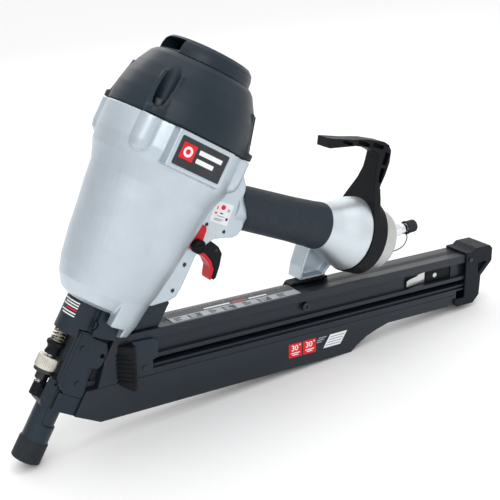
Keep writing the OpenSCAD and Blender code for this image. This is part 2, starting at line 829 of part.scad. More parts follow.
module magazine_rail() {
  color(charcoal) difference() {
    union() {
      along_mag(60, groove_m) plain_section();
      along_mag(groove_m, magazine_end + 6) rail_section();
    }
    // Upright front edge beside the nose
    translate([-60, -50, -10]) cube([60 + rail_front_x, 100, 200]);
    front_recess();
    // Slot that the pusher stem runs in, on the near side
    mag_frame() translate([groove_m, -half_w - 1, slot_n0]) cube([pusher_travel + 124, half_w + 1, slot_n1 - slot_n0]);
    // Window over the nail catch
    mag_frame() translate([432, -half_w - 1, 79.5]) cube([66, half_w - 7.6, magazine_top - lip_h - 79.5]);
    // The top strip is let in between the two sides
    mag_frame() for (side = [-1, 1])
      translate([0, side * channel_w / 2 - panel_gap / 2, 95]) cube([600, panel_gap, 20]);
    at_mag_bolt() translate([0, 0, -30]) cylinder(r = 2.5 + fit, h = 60);
    at_catch_rivets() cylinder(r = 1.6 + fit, h = 30, center = true);
    at_end_screws() translate([0, 0, -5]) cylinder(r = 1.5 + fit, h = 12);
  }
}

module magazine_cover() {
  color(charcoal) difference() {
    mag_frame() slab(magazine_w) polygon([[42, 38], [69.3, cover_bottom], [heel_m, cover_bottom],
      [heel_m + 8, 30.5], [heel_m + 20, 37.5], [heel_m + 34, 42.6], [heel_m + 50, tail_bottom],
      [504, tail_bottom], [504, rail_bottom], [42, rail_bottom]]);
    mag_frame() slab(channel_w) polygon([[30, 40], [71, 27.5], [heel_m - 4, 27.5],
      [heel_m + 8, 35], [heel_m + 34, 46.4], [heel_m + 50, tail_bottom + 3.4],
      [502, tail_bottom + 3.4], [502, rail_bottom + 1], [30, rail_bottom + 1]]);
    translate([-60, -50, -10]) cube([60 + 20, 100, 200]);
    // Fine step line along both sides
    mag_frame() for (side = [-1, 1])
      translate([40, side * half_w - 0.5, 58.4]) cube([480, 1, 0.8]);
    // The floor strip is let in between the two sides
    mag_frame() for (side = [-1, 1])
      translate([0, side * channel_w / 2 - panel_gap / 2, 0]) cube([600, panel_gap, 100]);
    cylinder(r = 13.4, h = 100);
    front_recess();
  }
}

module magazine_end_cap() {
  m = magazine_end;
  color(charcoal) difference() {
    mag_frame() union() {
      slab(magazine_w + 4) polygon([[m - 6, 97], [m - 6, 106.5], [m + 4, 106.5], [m + 9, 110], [m + 29, 110],
        [m + 33, 106], [m + 33, 91], [m + 17.5, 76], [m + 16.5, 53], [m + 8, 44.4], [m - 16, 44.4],
        [m - 20, 48], [m - 20, 54], [m - 6, 54]]);
    }
    // Pocket that takes the end of the rail and of the cover
    mag_frame() translate([m - 40, -half_w - fit, tail_bottom - fit]) cube([46 + fit, magazine_w + 2 * fit, magazine_top - tail_bottom + 2 * fit]);
    // Triangular recesses in both sides
    mag_frame() for (side = [-1, 1]) slab_between(side * (half_w - 3), side * (half_w + 5))
      polygon([[m + 12, 92], [m + 26, 92], [m + 13, 79]]);
    at_end_screws() translate([0, 0, -5]) cylinder(r = 1.5 + fit, h = 12);
  }
}

module at_end_screws() {
  mag_frame() for (side = [-1, 1]) translate([magazine_end, side * half_w, 98]) rotate([side * -90, 0, 0]) children();
}

module end_cap_screws() {
  color(black) at_end_screws() {
    translate([0, 0, -4]) cylinder(r = 1.5, h = 7);
    translate([0, 0, 2 + fit]) cylinder(r = 2.6, h = 1.2);
  }
}

module at_mag_bolt() {
  mag_frame() translate([300.3, 0, 88]) rotate([90, 0, 0]) children();
}

module magazine_bolt() {
  color(steel) at_mag_bolt() {
    difference() {
      translate([0, 0, 10.5 + fit]) cylinder(r = 4.4, h = 3.8);
      translate([0, 0, 12.6]) cylinder(r = 2.2, h = 4, $fn = 6);
    }
    // Shanks end short of the nail channel
    translate([0, 0, channel_w / 2 + 0.6]) cylinder(r = 2.5, h = 11 - channel_w / 2 - 0.6);
    translate([0, 0, -half_w - 8]) cylinder(r = 2.5, h = half_w + 7.4 - channel_w / 2);
    translate([0, 0, -half_w - 9.6]) cylinder(r = 4.4, h = 3.5, $fn = 6);
  }
}

module magazine_foot() {
  color(black) difference() {
    mag_frame() {
      // Lip on the top edge and plate down the far side
      slab_between(strut_y - 2, half_w + 6) polygon([[296, magazine_top + fit], [342, magazine_top + fit],
        [342, magazine_top + 2.6], [299, magazine_top + 2.6], [296, magazine_top + 1]]);
      slab_between(half_w + fit, half_w + 6) polygon([[290, 78], [336, 78], [342, 86], [342, magazine_top + 0.2],
        [296, magazine_top + 0.2], [290, 96]]);
    }
    at_mag_bolt() translate([0, 0, -40]) cylinder(r = 2.5 + fit, h = 60);
  }
}

module nail_catch() {
  color(steel) difference() {
    mag_frame() slab_between(-9.4, -8.6)
      polygon([[434, 79.9], [461, 79.9], [496, 79.9], [496, 93.4], [461, 91.4], [437, 86.4]]);
    at_catch_rivets() cylinder(r = 1.6 + fit, h = 10, center = true);
  }
}

module at_catch_rivets() {
  mag_frame() translate([475, -8, 86.5]) rotate([90, 0, 0]) children();
}

module catch_rivets() {
  color(steel) at_catch_rivets() {
    cylinder(r = 1.6, h = 3, center = true);
    translate([0, 0, 1.5]) cylinder(r = 2.8, h = 1);
  }
}

module ruler_label() {
  color("white") mag_frame() translate([149, -13, magazine_top + 0.02]) cube([145, 26, 0.3]);
}

module angle_labels() {
  color(crimson) mag_frame() {
    for (m = [278, 295.6]) translate([m, -half_w - 0.27, 36.2]) cube([15.9, 0.25, 15.4]);
    translate([0, -half_w - 0.145, 0]) slab(0.25) polygon([[321, 37.4], [343, 37.6], [351.6, 51.2], [329.6, 51]]);
  }
}

// ---------- pusher ----------

module pusher() {
  m = pusher_m;
  color(charcoal) mag_frame() {
    // Side plate
    slab_between(-half_w - 2.6, -half_w - 0.3) polygon([[m, 61.5], [m + 20.5, 61], [m + 20.5, 75],
      [m + 26.3, 76.5], [m + 26.3, 93.5], [m + 21, 96.6], [m, 97.4]]);
    // Stem through the slot and the block behind the nails
    translate([m + 3, -half_w - 1, slot_n0 + 0.4]) cube([16, half_w + 1, slot_n1 - slot_n0 - 0.8]);
    translate([m - 8, -channel_w / 2 + 0.4, rail_bottom + 2]) cube([28, channel_w - 0.8, 32]);
  }
}

// Section of the thumb grip, its slanted face moved out by d
module wedge_section(m, d) {
  polygon([[m - 14 - d, -half_w - 0.4], [m - 4 - d, -half_w - 11 - d], [m - fit, -half_w - 11 - d],
    [m - fit, -half_w - 0.4]]);
}

module pusher_grip() {
  m = pusher_m;
  color(black) mag_frame() {
    intersection() {
      translate([0, 0, 40]) linear_extrude(height = 60) wedge_section(m, 0);
      slab(60) polygon([[m - 16, 96.4], [m - fit, 93.6], [m - fit, 52], [m - 3, 51.4], [m - 16, 61]]);
    }
    for (i = [0:6]) translate([0, 0, 58.4 + 4.4 * i]) linear_extrude(height = 2) wedge_section(m, 1);
  }
}

module pusher_screw() {
  color(black) mag_frame() translate([pusher_m + 11.6, -half_w - 2.6 - fit, 68.6]) rotate([90, 0, 0]) difference() {
    cylinder(r = 2.3, h = 1);
    translate([-0.5, -4, 0.5]) cube([1, 8, 2]);
  }
}

// ---------- hook, end cap, air plug ----------

module hook_side() {
  polygon([[ring_a0, 30], [ring_a0, 50], [138.6, 70], [137, 87], [120.8, 90.2], [104.7, 88], [74.8, 78.4],
    [72.4, 78], [70, 87.6], [94.9, 92.4], [117.8, 98], [139, 100.6], [146, 99], [151, 94], [153.8, 82],
    [153.4, 68], [151.8, 57], [154, 40], [ring_a1, 30]]);
}

module hook_flare() {
  polygon([[-10.5, 82], [-11, 70], [-14.5, 58], [-22, 44], [-34, 20], [34, 20], [22, 44], [14.5, 58], [11, 70], [10.5, 82]]);
}

// Pockets as [a, b, length along a, length along b]
hook_pockets = [[147, 49, 5, 12], [147.6, 67, 6, 15], [147, 84.5, 6, 13], [132.5, 94.6, 15, 4],
  [113.5, 92.6, 15, 3.6], [93.4, 88.4, 13, 2.8]];

module rafter_hook() {
  color(black) handle_frame() difference() {
    union() {
      rotate([0, 90, 0]) translate([0, 0, ring_a0]) cylinder(r = ring_r, h = ring_a1 - ring_a0);
      slab(21) hook_side();
      translate([ring_a0, 0, 0]) rotate([90, 0, 90]) linear_extrude(height = 9) hook_flare();
    }
    rotate([0, 90, 0]) translate([0, 0, 100]) cylinder(r = neck_r + run, h = 80);
    translate([ring_a0 - 40, -60, -60]) cube([40, 120, 90]);
    // Weight-saving pockets along both edges
    for (side = [-1, 1], p = hook_pockets)
      translate([p[0], side * 10.5, p[1]]) cube([p[2], 12, p[3]], center = true);
  }
}

module inlet_frame() {
  handle_frame() translate([inlet_a, 0, 0]) rotate([0, 90 - inlet_tilt, 0]) children();
}

module handle_end_cap() {
  color("#a9adb0") difference() {
    union() {
      about_handle() polygon([[0, end_a0], [end_r, end_a0], [end_r, end_a1 - 4], [end_r - 1.2, end_a1 - 1.2],
        [end_r - 4, end_a1], [0, end_a1]]);
      about_handle() polygon([[0, end_a0 - 12], [24 - fit, end_a0 - 12], [24 - fit, end_a0 + 1], [0, end_a0 + 1]]);
      inlet_frame() cylinder(r = 11.5, h = 24);
    }
    handle_frame() rotate([0, 90, 0]) translate([0, 0, 140]) cylinder(r = 18, h = 24);
    inlet_frame() translate([0, 0, -6]) cylinder(r = 6.4, h = 60);
    // Exhaust slot at the lower edge
    handle_frame() translate([end_a1 - 9, -4, -end_r - 3]) cube([5, 8, 7]);
  }
}

module end_cap_seal() {
  color(black) about_handle() translate([20, end_a0 - 16]) square([3.8, 3.2]);
}

module air_plug() {
  color(steel) inlet_frame() difference() {
    union() {
      translate([0, 0, 10]) cylinder(r = 6.35, h = 16);
      translate([0, 0, 24 + fit]) cylinder(r = 7.4, h = 16, $fn = 6);
      translate([0, 0, 40]) cylinder(r = 5.9, h = 5);
      translate([0, 0, 45]) cylinder(r = 4.2, h = 4);
      translate([0, 0, 49]) cylinder(r = 5.9, h = 4);
      translate([0, 0, 53]) cylinder(r = 4, h = 6);
    }
    cylinder(r = 2.6, h = 80);
  }
}

module dust_cap() {
  color(black) inlet_frame() rotate_extrude()
    polygon([[5.9 + run, 47.6], [7.4, 47.6], [7.4, 50.4], [6.8, 51], [6.8, 59.6], [5.8, 61], [0, 61], [0, 59.4], [5.9 + run, 59.4]]);
}

// Route of the dust cap tether in the inlet frame, from the cap to the end cap
tether_r = 0.6;
tether_route = [[8, 0, 50], [11, -1, 50], [15, -2, 47.5], [18.5, -3, 43], [20.5, -3, 37.5], [21.3, -3, 31],
  [21, -3, 24], [20, -2, 17], [18.6, -1, 10.5], [18, 0, 4.6]];

function unit(v) = v / norm(v);
function heading(path, i) = unit(path[min(i + 1, len(path) - 1)] - path[max(i - 1, 0)]);

// Tube swept along a route with its rings square to the path
module swept_tube(path, r, sides = 8) {
  rings = [for (i = [0:len(path) - 1])
    let (t = heading(path, i), s = unit(cross(t, [0, 1, 0])), u = cross(s, t))
    [for (j = [0:sides - 1]) path[i] + r * (cos(360 * j / sides) * s + sin(360 * j / sides) * u)]];
  points = [for (ring = rings, p = ring) p];
  last = len(path) - 1;
  walls = [for (i = [0:last - 1], j = [0:sides - 1])
    let (k = (j + 1) % sides)
    [i * sides + k, i * sides + j, (i + 1) * sides + j, (i + 1) * sides + k]];
  ends = [[for (j = [0:sides - 1]) j], [for (j = [sides - 1:-1:0]) last * sides + j]];
  polyhedron(points = points, faces = concat(walls, ends), convexity = 6);
}

// Four extra points between route points, on a smooth curve through them
function spline(p0, p1, p2, p3, t) = 0.5 * (2 * p1 + (p2 - p0) * t
  + (2 * p0 - 5 * p1 + 4 * p2 - p3) * t * t + (3 * p1 - p0 - 3 * p2 + p3) * t * t * t);
function smooth(path, n) = [for (i = [0:len(path) - 2], k = [0:n - 1])
  spline(path[max(i - 1, 0)], path[i], path[i + 1], path[min(i + 2, len(path) - 1)], k / n),
  path[len(path) - 1]];

module cap_tether() {
  color(black) inlet_frame() swept_tube(smooth(tether_route, 3), tether_r);
}

place() housing();
place() difference() { handle_grip(); grip_clear(); }
place() nameplate();
place() mode_label();
place() cap();
place() cap_gasket();
place() cap_bolts();
place() exhaust_deflector();
place() deflector_bolt();
place() cylinder_sleeve();
place() sleeve_seals();
place() bumper();
place() head_valve();
place() head_valve_spring();
place() piston();
place() piston_ring();
place() driver_blade();
place() valve_body();
place() valve_stem();
place() valve_spring();
place() valve_pins();
place() trigger_body();
place() trigger_pad();
place() trigger_lever();
place() trigger_lever_pin();
place() trigger_pivot();
place() selector_lever();
place() selector_knob();
place() nose_body();
place() nose_bolts();
place() nose_tube();
place() nose_covers();
place() cover_screws();
place() contact_stud();
place() adjuster_spool();
place() contact_spring();
place() depth_wheel();
place() contact_foot();
place() foot_block();
place() foot_pin();
place() no_mar_tip();
place() magazine_rail();
place() magazine_cover();
place() magazine_end_cap();
place() end_cap_screws();
place() magazine_bolt();
place() magazine_foot();
place() nail_catch();
place() catch_rivets();
place() ruler_label();
place() angle_labels();
place() pusher();
place() pusher_grip();
place() pusher_screw();
place() rafter_hook();
place() handle_end_cap();
place() end_cap_seal();
place() air_plug();
place() dust_cap();
place() cap_tether();
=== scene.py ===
"""Looks of the pneumatic framing nailer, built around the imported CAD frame."""
import json
import math
import random

import bmesh
import bpy
from mathutils import Matrix, Vector


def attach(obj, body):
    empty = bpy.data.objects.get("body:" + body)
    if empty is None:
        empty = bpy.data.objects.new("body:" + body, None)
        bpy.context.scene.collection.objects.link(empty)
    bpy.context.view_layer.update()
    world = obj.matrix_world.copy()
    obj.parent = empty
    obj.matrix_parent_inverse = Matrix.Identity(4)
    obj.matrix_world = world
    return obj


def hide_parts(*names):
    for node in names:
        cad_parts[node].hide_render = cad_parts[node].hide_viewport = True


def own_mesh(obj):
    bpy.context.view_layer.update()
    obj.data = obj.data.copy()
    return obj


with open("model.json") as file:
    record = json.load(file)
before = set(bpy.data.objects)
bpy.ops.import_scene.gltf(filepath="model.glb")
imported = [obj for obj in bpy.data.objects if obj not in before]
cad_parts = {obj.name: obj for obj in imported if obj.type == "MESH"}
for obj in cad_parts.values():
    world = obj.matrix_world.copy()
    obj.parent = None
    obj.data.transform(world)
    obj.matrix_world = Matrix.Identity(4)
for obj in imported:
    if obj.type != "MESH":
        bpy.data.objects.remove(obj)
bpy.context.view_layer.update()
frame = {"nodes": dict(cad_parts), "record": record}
NODES = frame["nodes"]
MM = 0.001

# ---------------- frames, in mm like part.scad
# Tool frame: Z up the driver's axis, X to the rear, -Y to the near side.
# Magazine frame: the same origin, m (X) along the magazine and n (Z) up from it.

MAG_ANGLE = 30.0
# The tool stands on the rim of its tip and on the heel of its magazine
TIP_EDGE_R = 13.1
HEEL_M, HEEL_N = 357.4, 24.3
CENTRE_X = 275.16
# The handle's start and tilt, then the air inlet's place along it and its own tilt
HANDLE_X, HANDLE_Z, HANDLE_TILT = 100, 290.3, 9.4
INLET_A, INLET_TILT = 169, 24.4
# The depth adjuster's axis, and the pivot that the trigger and its selector share
ADJUSTER_X = -20.6
PIVOT_X, PIVOT_Z = 59.8, 241.1
# Half widths of the magazine and its nail channel
MAGAZINE_HALF, CHANNEL_HALF = 15.5, 4.6
COS_MAG, SIN_MAG = math.cos(math.radians(MAG_ANGLE)), math.sin(math.radians(MAG_ANGLE))
HEEL_X = HEEL_M * COS_MAG - HEEL_N * SIN_MAG
HEEL_Z = HEEL_M * SIN_MAG + HEEL_N * COS_MAG
LEAN = math.atan2(HEEL_Z, HEEL_X - TIP_EDGE_R)

TOOL = (Matrix.Scale(MM, 4) @ Matrix.Translation((-CENTRE_X, 0, TIP_EDGE_R * math.sin(LEAN)))
        @ Matrix.Rotation(LEAN, 4, "Y"))
MAG = TOOL @ Matrix.Rotation(math.radians(-MAG_ANGLE), 4, "Y")


def placed(matrix, point, degrees, axis):
    """The frame at a point of another frame, turned about one of its axes."""
    return matrix @ Matrix.Translation(point) @ Matrix.Rotation(math.radians(degrees), 4, axis)


def direction(matrix, v):
    """A direction turned by the matrix, at unit length."""
    return (matrix.to_3x3() @ Vector(v)).normalized()


HANDLE = placed(TOOL, (HANDLE_X, 0, HANDLE_Z), -HANDLE_TILT, "Y")
INLET = placed(HANDLE, (INLET_A, 0, 0), 90 - INLET_TILT, "Y")
ALONG_HANDLE = HANDLE @ Matrix.Rotation(math.radians(90), 4, "Y")
ADJUSTER = TOOL @ Matrix.Translation((ADJUSTER_X, 0, 0))

# ---------------- camera
# The photograph's camera in the tool frame, fitted to the tool's three axes: degrees and mm

VIEW_AZIMUTH, VIEW_ELEVATION, VIEW_ROLL = -36.18, 2.0, 24.9
VIEW_TARGET, VIEW_DISTANCE = (131.2, 0, 256.1), 982.1
LENS, SENSOR_WIDTH = 72.2, 36.0
CLIP_NEAR, CLIP_FAR = 0.05, 20.0


def make_camera():
    az, el, roll = (math.radians(v) for v in (VIEW_AZIMUTH, VIEW_ELEVATION, VIEW_ROLL))
    back = Vector((math.sin(az) * math.cos(el), -math.cos(az) * math.cos(el), math.sin(el)))
    level = Vector((math.cos(az), math.sin(az), 0))
    tall = back.cross(level)
    right = math.cos(roll) * level + math.sin(roll) * tall
    up = -math.sin(roll) * level + math.cos(roll) * tall
    data = bpy.data.cameras.new("photo_camera")
    data.lens, data.sensor_width = LENS, SENSOR_WIDTH
    data.clip_start, data.clip_end = CLIP_NEAR, CLIP_FAR
    camera = bpy.data.objects.new("photo_camera", data)
    bpy.context.scene.collection.objects.link(camera)
    turn = Matrix([direction(TOOL, v) for v in (right, up, back)]).transposed().to_4x4()
    place = TOOL @ (Vector(VIEW_TARGET) + back * VIEW_DISTANCE)
    camera.matrix_world = Matrix.Translation(place) @ turn
    bpy.context.scene.camera = camera


make_camera()

# ---------------- mesh tools


def link(name, mesh):
    """A scene object of the mesh."""
    obj = bpy.data.objects.new(name, mesh)
    bpy.context.scene.collection.objects.link(obj)
    return obj


def from_bm(name, bm, matrix=None):
    """A mesh object from a bmesh drawn in mm, moved into the part's frame by the matrix."""
    if matrix is not None:
        bm.transform(matrix)
    bmesh.ops.recalc_face_normals(bm, faces=bm.faces)
    mesh = bpy.data.meshes.new(name)
    bm.to_mesh(mesh)
    bm.free()
    return link(name, mesh)


def sweep(name, loops, matrix, closed=False):
    """Skins loops of points one after another, with end caps unless the last joins the first."""
    bm = bmesh.new()
    rings = [[bm.verts.new(point) for point in loop] for loop in loops]
    count = len(rings[0])
    for a, b in zip(rings, rings[1:] + rings[:1] if closed else rings[1:]):
        for i in range(count):
            j = (i + 1) % count
            bm.faces.new([a[i], a[j], b[j], b[i]])
    if not closed:
        bm.faces.new(rings[0][::-1])
        bm.faces.new(rings[-1])
    return from_bm(name, bm, matrix)


def lathe(name, profile, matrix, steps=96, wave=None):
    """Revolves a closed loop of (radius, height) about the local Z.

    wave(angle, radius, height) gives a new radius.
    """
    bm = bmesh.new()
    rings = []
    for i in range(steps):
        a = 2 * math.pi * i / steps
        ring = []
        for r, z in profile:
            rr = wave(a, r, z) if wave else r
            ring.append(bm.verts.new((rr * math.cos(a), rr * math.sin(a), z)))
        rings.append(ring)
    count = len(profile)
    for i in range(steps):
        p, q = rings[i], rings[(i + 1) % steps]
        for j in range(count):
            k = (j + 1) % count
            bm.faces.new([p[j], q[j], q[k], p[k]])
    bmesh.ops.remove_doubles(bm, verts=bm.verts, dist=1e-5)
    bmesh.ops.dissolve_degenerate(bm, edges=bm.edges, dist=1e-5)
    return from_bm(name, bm, matrix)


def smooth_route(points, n):
    """The same curve through the route points as part.scad draws."""
    out = []
    last = len(points) - 1
    for i in range(last):
        p = [Vector(points[k]) for k in (max(i - 1, 0), i, i + 1, min(i + 2, last))]
        for k in range(n):
            t = k / n
            square = (2 * p[0] - 5 * p[1] + 4 * p[2] - p[3]) * t * t
            cube = (3 * p[1] - p[0] - 3 * p[2] + p[3]) * t ** 3
            out.append(0.5 * (2 * p[1] + (p[2] - p[0]) * t + square + cube))
    out.append(Vector(points[last]))
    return out


def lathe_curve(points, n=4):
    """More points on the same smooth curve, for the skin of a turned shape."""
    flat = smooth_route([(r, 0, z) for r, z in points], n)
    return [(p.x, p.z) for p in flat]


def prism(name, outline, y0, y1, matrix):
    """Extrudes an outline of (x, z) between two Y stations."""
    bm = bmesh.new()
    a = [bm.verts.new((x, y0, z)) for x, z in outline]
    b = [bm.verts.new((x, y1, z)) for x, z in outline]
    bm.faces.new(a)
    bm.faces.new(b[::-1])
    for i in range(len(outline)):
        j = (i + 1) % len(outline)
        bm.faces.new([a[i], b[i], b[j], a[j]])
    return from_bm(name, bm, matrix)


def block(name, lo, hi, matrix):
    """A box between two corners."""
    outline = [(lo[0], lo[2]), (hi[0], lo[2]), (hi[0], hi[2]), (lo[0], hi[2])]
    return prism(name, outline, lo[1], hi[1], matrix)


def rounded(x0, z0, x1, z1, r, n=5):
    """Corner-rounded rectangle as an outline."""
    out = []
    corners = ((x1 - r, z1 - r, 0), (x0 + r, z1 - r, 90), (x0 + r, z0 + r, 180), (x1 - r, z0 + r, 270))
    for cx, cz, start in corners:
        for i in range(n + 1):
            a = math.radians(start + 90 * i / n)
            out.append((cx + r * math.cos(a), cz + r * math.sin(a)))
    return out


def tube_path(name, points, radius, matrix, sides=10):
    """A round tube through points in mm, with closed ends."""
    pts = [Vector(p) for p in points]
    angles = [2 * math.pi * k / sides for k in range(sides)]
    normal = None
    rings = []
    for i, p in enumerate(pts):
        t = (pts[min(i + 1, len(pts) - 1)] - pts[max(i - 1, 0)]).normalized()
        if normal is None:
            normal = t.orthogonal().normalized()
        normal = (normal - normal.dot(t) * t).normalized()
        side = t.cross(normal)
        rings.append([p + radius * (math.cos(a) * normal + math.sin(a) * side) for a in angles])
    return sweep(name, rings, matrix)


def helix(r, z0, z1, turns, steps=20, flat=0.75):
    """Points of a coil with closed end turns."""
    out = []
    total = int(turns * steps)
    for i in range(total + 1):
        t = i / total
        end = flat / turns
        if t < end:
            rise = 0.0
        elif t > 1 - end:
            rise = 1.0
        else:
            rise = (t - end) / (1 - 2 * end)
        a = 2 * math.pi * turns * t
        out.append((r * math.cos(a), r * math.sin(a), z0 + (z1 - z0) * rise))
    return out


def copy_of(node, name):
    """A welded copy of a CAD node's mesh as a new object."""
    mesh = NODES[node].data.copy()
    obj = link(name, mesh)
    obj.matrix_world = NODES[node].matrix_world
    bm = bmesh.new()
    bm.from_mesh(mesh)
    bm.transform(obj.matrix_world)
    bmesh.ops.remove_doubles(bm, verts=bm.verts, dist=2e-6)
    bmesh.ops.recalc_face_normals(bm, faces=bm.faces)
    bm.to_mesh(mesh)
    bm.free()
    obj.matrix_world = Matrix.Identity(4)
    if "custom_normal" in mesh.attributes:
        mesh.attributes.remove(mesh.attributes["custom_normal"])
    mesh.materials.clear()
    return obj


def applied(obj):
    """Applies every modifier by taking the evaluated mesh."""
    graph = bpy.context.evaluated_depsgraph_get()
    mesh = bpy.data.meshes.new_from_object(obj.evaluated_get(graph))
    old = obj.data
    obj.modifiers.clear()
    obj.data = mesh
    bpy.data.meshes.remove(old)
    return obj


def boolean(obj, others, operation="DIFFERENCE"):
    """Cuts or joins helper objects, which are then deleted."""
    for other in others:
        mod = obj.modifiers.new("b", "BOOLEAN")
        mod.operation, mod.solver, mod.object = operation, "EXACT", other
    applied(obj)
    for other in others:
        bpy.data.objects.remove(other)
    return obj


def joined(name, objs):
    """One object from several, with their materials kept apart."""
    bm = bmesh.new()
    mesh = bpy.data.meshes.new(name)
    for obj in objs:
        slots = []
        for material in obj.data.materials:
            if material.name not in [m.name for m in mesh.materials]:
                mesh.materials.append(material)
            slots.append([m.name for m in mesh.materials].index(material.name))
        start = len(bm.faces)
        bm.from_mesh(obj.data)
        bm.faces.ensure_lookup_table()
        if slots:
            for face in bm.faces[start:]:
                face.material_index = slots[min(face.material_index, len(slots) - 1)]
    bm.to_mesh(mesh)
    bm.free()
    for obj in objs:
        bpy.data.objects.remove(obj)
    return link(name, mesh)


def smooth_shade(obj, angle=30):
    """Smooth shading with edges kept sharp above the angle."""
    obj.data.shade_smooth()
    obj.data.set_sharp_from_angle(angle=math.radians(angle))
    return obj


def cast(obj, voxel, smooth, angle=60):
    """Softens every edge the way a casting or moulding has it: voxel remesh, then smoothing."""
    mod = obj.modifiers.new("r", "REMESH")
    mod.mode, mod.voxel_size = "VOXEL", voxel * MM
    mod = obj.modifiers.new("s", "SMOOTH")
    mod.factor, mod.iterations = 0.5, smooth
    return smooth_shade(applied(obj), angle)


def bevelled(obj, width, segments=2, angle=30):
    """Rounds every edge that turns by more than the angle."""
    mod = obj.modifiers.new("b", "BEVEL")
    mod.width, mod.segments = width * MM, segments
    mod.limit_method, mod.angle_limit = "ANGLE", math.radians(angle)
    return applied(obj)


def soften(obj, width, segments=2, angle=28, dissolve=1.5, weld=0.0):
    """Merges flat faces of a machined or pressed piece and bevels its edges."""
    bm = bmesh.new()
    bm.from_mesh(obj.data)
    if weld:
        bmesh.ops.remove_doubles(bm, verts=bm.verts, dist=weld * MM)
    bmesh.ops.dissolve_limit(bm, angle_limit=math.radians(dissolve), verts=bm.verts, edges=bm.edges)
    bm.to_mesh(obj.data)
    bm.free()
    return smooth_shade(bevelled(obj, width, segments, angle), 32)


# ---------------- materials


class Shader:
    """Small builder for procedural node materials."""

    def __init__(self, name, base, metallic, rough, coat=0.0, specular=0.5):
        self.material = bpy.data.materials.new(name)
        self.material.use_nodes = True
        self.tree = self.material.node_tree
        self.bsdf = self.tree.nodes["Principled BSDF"]
        self.bsdf.inputs["Base Color"].default_value = (*base, 1)
        self.bsdf.inputs["Metallic"].default_value = metallic
        self.bsdf.inputs["Roughness"].default_value = rough
        self.bsdf.inputs["Coat Weight"].default_value = coat
        self.bsdf.inputs["Coat Roughness"].default_value = 0.25
        self.bsdf.inputs["Specular IOR Level"].default_value = specular
        self.coords = self.node("ShaderNodeTexCoord").outputs["Object"]
        self.noises = {}
        self.colour = None
        self.last_bump = None

    def node(self, kind, **values):
        made = self.tree.nodes.new(kind)
        for key, value in values.items():
            setattr(made, key, value)
        return made

    def wire(self, a, b):
        self.tree.links.new(a, b)

    def noise(self, scale, detail, rough=0.5, stretch=None):
        """Noise in object space. stretch is the turn and the scales of long grain."""
        key = (scale, detail, rough, stretch)
        if key in self.noises:
            return self.noises[key]
        made = self.node("ShaderNodeTexNoise")
        made.inputs["Scale"].default_value = scale
        made.inputs["Detail"].default_value = detail
        made.inputs["Roughness"].default_value = rough
        source = self.coords
        if stretch:
            mapping = self.node("ShaderNodeMapping")
            mapping.inputs["Rotation"].default_value = stretch[0]
            mapping.inputs["Scale"].default_value = stretch[1]
            self.wire(source, mapping.inputs["Vector"])
            source = mapping.outputs["Vector"]
        self.wire(source, made.inputs["Vector"])
        self.noises[key] = made.outputs["Fac"]
        return self.noises[key]

    def grey(self, value, low, high, start=0.3, end=0.7):
        """The value from start to end, as low to high."""
        made = self.node("ShaderNodeMapRange")
        made.inputs["From Min"].default_value = start
        made.inputs["From Max"].default_value = end
        made.inputs["To Min"].default_value = low
        made.inputs["To Max"].default_value = high
        self.wire(value, made.inputs["Value"])
        return made.outputs["Result"]

    def tint(self, value, *colours):
        """Base colour varies between two colours with the value."""
        made = self.node("ShaderNodeValToRGB")
        for element, place, colour in zip(made.color_ramp.elements, (0.3, 0.7), colours):
            element.position = place
            element.color = (*colour, 1)
        self.wire(value, made.inputs["Fac"])
        self.colour = made.outputs["Color"]
        self.wire(self.colour, self.bsdf.inputs["Base Color"])

    def worn(self, colour, start, end, amount):
        """Edges that stand out are rubbed to another colour, in patches."""
        geometry = self.node("ShaderNodeNewGeometry")
        edge = self.grey(geometry.outputs["Pointiness"], 0.0, amount, start, end)
        patches = self.grey(self.noise(40.0, 3.0), 0.2, 1.0, 0.4, 0.6)
        both = self.node("ShaderNodeMath", operation="MULTIPLY")
        self.wire(edge, both.inputs[0])
        self.wire(patches, both.inputs[1])
        mix = self.node("ShaderNodeMix", data_type="RGBA")
        mix.inputs["B"].default_value = (*colour, 1)
        self.wire(self.colour, mix.inputs["A"])
        self.wire(both.outputs[0], mix.inputs["Factor"])
        self.wire(mix.outputs["Result"], self.bsdf.inputs["Base Color"])

    def rough(self, value, low, high):
        self.wire(self.grey(value, low, high), self.bsdf.inputs["Roughness"])

    def bump(self, value, height, strength):
        made = self.node("ShaderNodeBump")
        made.inputs["Strength"].default_value = strength
        made.inputs["Distance"].default_value = height * MM
        self.wire(value, made.inputs["Height"])
        if self.last_bump:
            self.wire(self.last_bump, made.inputs["Normal"])
        self.last_bump = made.outputs["Normal"]
        self.wire(self.last_bump, self.bsdf.inputs["Normal"])


def finish(basics, tint, rough, *bumps, worn=None):
    """A material: the Shader's settings, then noise and values for its colour, roughness and relief."""
    s = Shader(*basics)
    s.tint(s.noise(*tint[0]), *tint[1:])
    if worn:
        s.worn(*worn)
    s.rough(s.noise(*rough[0]), *rough[1:])
    for noise, height, strength in bumps:
        s.bump(s.noise(*noise), height, strength)
    return s.material


